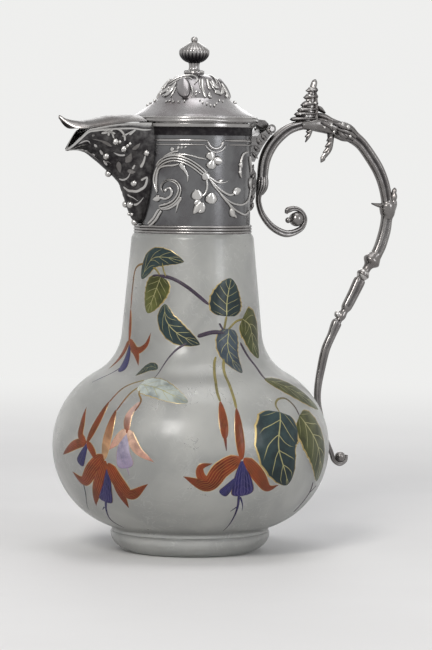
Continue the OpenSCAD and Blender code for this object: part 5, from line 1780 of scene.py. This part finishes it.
            for x, z, reach, w in ((33.4, 188, 2.2, 1.5), (33.8, 193, 2.4, 1.7), (33.8, 198.6, 2.4, 1.8),
                                   (33.6, 204.2, 2.4, 1.7), (33.4, 209, 2.0, 1.4)):
                mount.append([(x - 1.6, side * self.MOUNT_FACE, z - 2.2, 0.4, 0.5),
                              (x, side * (self.MOUNT_FACE + 0.2), z, w, 1.2),
                              (x + reach * 0.6, side * self.MOUNT_FACE, z + 2.4, 0.4, 0.5)])
            for x, z, w in ((33.0, 216.4, 1.3), (34.2, 220, 1.7), (35.6, 223.8, 1.8), (38.4, 226.2, 1.6),
                            (41.4, 229.4, 1.3)):
                mount.append([(x - 1.9, side * self.BRACKET_FACE, z + 1.9, 0.4, 0.5),
                              (x, side * (self.BRACKET_FACE + 0.2), z, w, 1.1),
                              (x + 2.0, side * self.BRACKET_FACE, z - 1.6, 0.3, 0.4)])
        return {"crest_leaf": (crest, 1, 0.0, []), "hanging_leaves": (drops, 1, 0.0, ["crest_leaves"]),
                "bow_leaves": (collar, 1, 0.0, []), "mount_leaves": (mount, 2, 0.25, [])}

    def beads(self) -> list[tuple[float, float, float, float]]:
        """Bright beads on both faces of the cast pieces.

        Returns:
            Rows of (x, z, distance from the middle plane, radius).
        """
        return [(62.8, 239.4, 1.9, 0.8), (66.4, 238.2, 2.3, 0.9), (63.9, 242.0, 1.8, 0.8), (68.7, 242.0, 2.2, 0.9),
                (68.6, 245.7, 2.0, 0.95), (71.7, 245.6, 2.1, 0.95), (68.6, 249.6, 1.8, 0.95), (69.9, 252.9, 1.6, 0.9),
                (84.6, 233.6, 3.7, 1.2), (87.4, 233.9, 4.6, 1.1), (90.7, 232.4, 4.7, 1.3), (76.8, 232.2, 3.7, 1.0),
                (80.8, 233.2, 4.1, 1.1), (82.8, 229.8, 3.3, 1.1), (86.2, 228.4, 4.0, 1.2), (92.3, 227.4, 4.2, 1.0)]

    def build(self) -> list[bpy.types.Object]:
        """Builds the handle.

        Returns:
            Its objects.
        """
        sub = 9
        names = list(self.PIECES)
        rows = through(np.array([row for name in names for row in self.PIECES[name]]), sub)
        made = []
        first = 0
        for name in names:
            last = first + len(self.PIECES[name])
            part = rows[max(first - 1, 0) * sub:(last - 1) * sub + 1]
            flutes = self.FLUTES if name in self.FLUTED else 0
            grid, soot = self.ring_grid(part, self.REEDED.get(name, 0.0), 48 if flutes else 32, flutes)
            skin = Skin(name).grid(grid, soot=soot)
            finish = self.finishes.cast if name in self.CAST else self.finishes.handle
            made.append(skin.build(finish, Body.JUG, "silver", [name]))
            first = last
        for name, (blades, lobes, bite, stands_for) in self.leaves().items():
            skin = Skin(name)
            for path in blades:
                self.blade(skin, path, lobes, bite)
            made.append(skin.build(self.finishes.handle, Body.JUG, "silver", stands_for))
        tail = Skin("tail_ball").grid(ball((90.4, 0, 48.5), 3.0))
        made.append(tail.build(self.finishes.handle, Body.JUG, "silver", ["tail_ball"]))
        beads = Skin("cast_beads").grid(ball((103.3, 0, 150.4), 3.5), soot=0.1).grid(ball((88.0, 0, 128.4), 2.1))
        for x, z, y, r in self.beads():
            for side in (-1, 1):
                beads.grid(ball((x, side * y, z), r, 1.0, 10, 14))
        made.append(beads.build(self.finishes.relief, Body.JUG, "silver"))
        eyes = Skin("scroll_eyes")
        eyes.grid(ball((62.0, 0, 181.4), 4.1)).grid(ball((57.1, 0, 180.8), 1.7))
        made.append(eyes.build(self.finishes.cast, Body.JUG, "silver", ["scroll_berries"]))
        return made


@dataclass
class Plated(Part):
    """CAD pieces that keep their own meshes and only take a finish."""

    def build(self) -> list[bpy.types.Object]:
        """Gives each piece its material.

        Returns:
            The CAD objects.
        """
        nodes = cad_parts
        plan = {"collar_sleeve": self.finishes.sleeve, "lid_locating_ring": self.finishes.polished,
                "lid_hinge_leaf": self.finishes.shadowed, "finial_washer": self.finishes.polished,
                "finial_nut": self.finishes.brass, "hinge_bracket": self.finishes.shadowed,
                "hinge_pin": self.finishes.polished, "handle_mount": self.finishes.shadowed,
                "neck_plaster": self.finishes.plaster}
        for name, finish in plan.items():
            nodes[name].data.materials.clear()
            nodes[name].data.materials.append(finish)
        return [nodes[name] for name in plan]


# ---------- stage ----------


@dataclass
class Stage:
    """Floor, light and camera."""
    azimuth: float = -22.5
    distance: float = 1.75
    height: float = 0.22187
    focal_px: float = 3204.2
    picture_h: float = 650.0
    yaw: float = 0.433
    pitch: float = 3.2137
    roll: float = 0.5438
    backdrop: Colour = (0.86, 0.86, 0.85)
    floor_half: float = 6.0
    aim_z: float = 0.14

    LAMPS = (("key", (-1.1, -1.3, 1.25), (0.5, 0.7), 19, (1.0, 0.98, 0.95)),
             ("fill", (0.9, -1.6, 0.7), (0.5, 0.9), 7, (0.95, 0.97, 1.0)),
             ("top", (0.1, -0.1, 1.6), (0.9, 0.9), 6, (1, 1, 1)),
             ("back", (0.6, 1.4, 0.9), (0.8, 0.8), 4, (1, 1, 1)))

    def camera(self) -> None:
        """Places the camera as the photo was taken."""
        a, y, t, q = (math.radians(v) for v in (self.azimuth, self.yaw, self.pitch, self.roll))
        back = Vector((math.sin(a), -math.cos(a), 0))
        right = Vector((math.cos(a), math.sin(a), 0))
        up = Vector((0, 0, 1))
        place = back * self.distance + Vector((0, 0, self.height))
        right, back = right * math.cos(y) + back * math.sin(y), back * math.cos(y) - right * math.sin(y)
        back, up = back * math.cos(t) + up * math.sin(t), up * math.cos(t) - back * math.sin(t)
        right, up = right * math.cos(q) + up * math.sin(q), up * math.cos(q) - right * math.sin(q)
        data = bpy.data.cameras.new("camera")
        data.sensor_fit = "VERTICAL"
        data.sensor_height = SENSOR_MM
        data.lens = self.focal_px * SENSOR_MM / self.picture_h
        data.clip_end = 50
        cam = bpy.data.objects.new("camera", data)
        turn = Matrix((right, up, back)).transposed().to_4x4()
        cam.matrix_world = Matrix.Translation(place) @ turn
        bpy.context.scene.collection.objects.link(cam)
        bpy.context.scene.camera = cam

    def light(self, name: str, place: tuple[float, float, float], size: tuple[float, float], power: float,
              tint: Colour) -> None:
        """Adds a soft box that faces the jug.

        Args:
            name: Its name.
            place: Where it stands.
            size: Width and height.
            power: Its power in watts.
            tint: Its colour.
        """
        data = bpy.data.lights.new(name, "AREA")
        data.shape = "RECTANGLE"
        data.size, data.size_y = size
        data.energy = power
        data.color = tint
        lamp = bpy.data.objects.new(name, data)
        lamp.location = place
        lamp.rotation_euler = (Vector((0, 0, self.aim_z)) - Vector(place)).to_track_quat("-Z", "Y").to_euler()
        bpy.context.scene.collection.objects.link(lamp)

    def seen(self, g: Graph) -> bpy.types.NodeSocket:
        """Whether a ray comes from the camera, a mirror or glass.

        Args:
            g: The graph.

        Returns:
            A value's socket.
        """
        ray = g.add("ShaderNodeLightPath")
        through_glass = g.math("MAXIMUM", ray.outputs["Is Glossy Ray"], ray.outputs["Is Transmission Ray"])
        return g.math("MAXIMUM", ray.outputs["Is Camera Ray"], through_glass)

    def floor(self) -> None:
        """Lays a pale floor that runs out into the background's colour."""
        mesh = bpy.data.meshes.new("floor")
        s = self.floor_half
        mesh.from_pydata([(-s, -s, 0), (s, -s, 0), (s, s, 0), (-s, s, 0)], [], [(0, 1, 2, 3)])
        mat, g, shader = material("floor")
        where = g.place()
        cloud = g.noise(where, 4.0, 5, 0.6)
        connect(g, shader, Base_Color=g.mix(g.span(cloud, 0.3, 0.7), (0.79, 0.785, 0.775), (0.81, 0.805, 0.795)),
                Roughness=g.span(cloud, 0.3, 0.7, 0.8, 0.7))
        far = g.add("ShaderNodeVectorMath", {0: where}, operation="LENGTH").outputs["Value"]
        glow = g.add("ShaderNodeEmission", {"Color": self.backdrop, "Strength": 1.0})
        both = g.add("ShaderNodeMixShader", {0: g.math("MULTIPLY", g.span(far, 0.35, 1.3), self.seen(g)),
                                             1: shader.outputs[0], 2: glow.outputs[0]})
        out = next(n for n in mat.node_tree.nodes if n.type == "OUTPUT_MATERIAL")
        mat.node_tree.links.new(both.outputs[0], out.inputs["Surface"])
        mesh.materials.append(mat)
        floor = bpy.data.objects.new("floor", mesh)
        bpy.context.scene.collection.objects.link(floor)

    def build(self) -> None:
        """Builds the stage."""
        self.camera()
        self.floor()
        for lamp in self.LAMPS:
            self.light(*lamp)
        world = bpy.data.worlds.new("world")
        bpy.context.scene.world = world
        world.use_nodes = True
        g = Graph(world.node_tree)
        dim = g.add("ShaderNodeBackground", {"Color": (0.36, 0.36, 0.38), "Strength": 0.8})
        pale = g.add("ShaderNodeBackground", {"Color": self.backdrop, "Strength": 1.0})
        both = g.add("ShaderNodeMixShader", {0: self.seen(g), 1: dim.outputs[0], 2: pale.outputs[0]})
        out = g.add("ShaderNodeOutputWorld")
        world.node_tree.links.new(both.outputs[0], out.inputs["Surface"])
        bpy.context.scene.view_settings.view_transform = "Standard"


def main() -> None:
    """Builds every sub-assembly, then the stage, and reports."""
    logging.basicConfig(level=logging.INFO, format="%(name)s: %(message)s")
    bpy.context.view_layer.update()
    finishes = Finishes()
    glass = GlassBody(finishes)
    parts: list[Part] = [glass, Spray(finishes, glass), Collar(finishes), Spout(finishes), Lid(finishes),
                         Handle(finishes), Plated(finishes)]
    for part in parts:
        made = part.build()
        log.info("%s: %d objects", type(part).__name__, len(made))
    Stage().build()


if __name__ == "__main__":
    main()
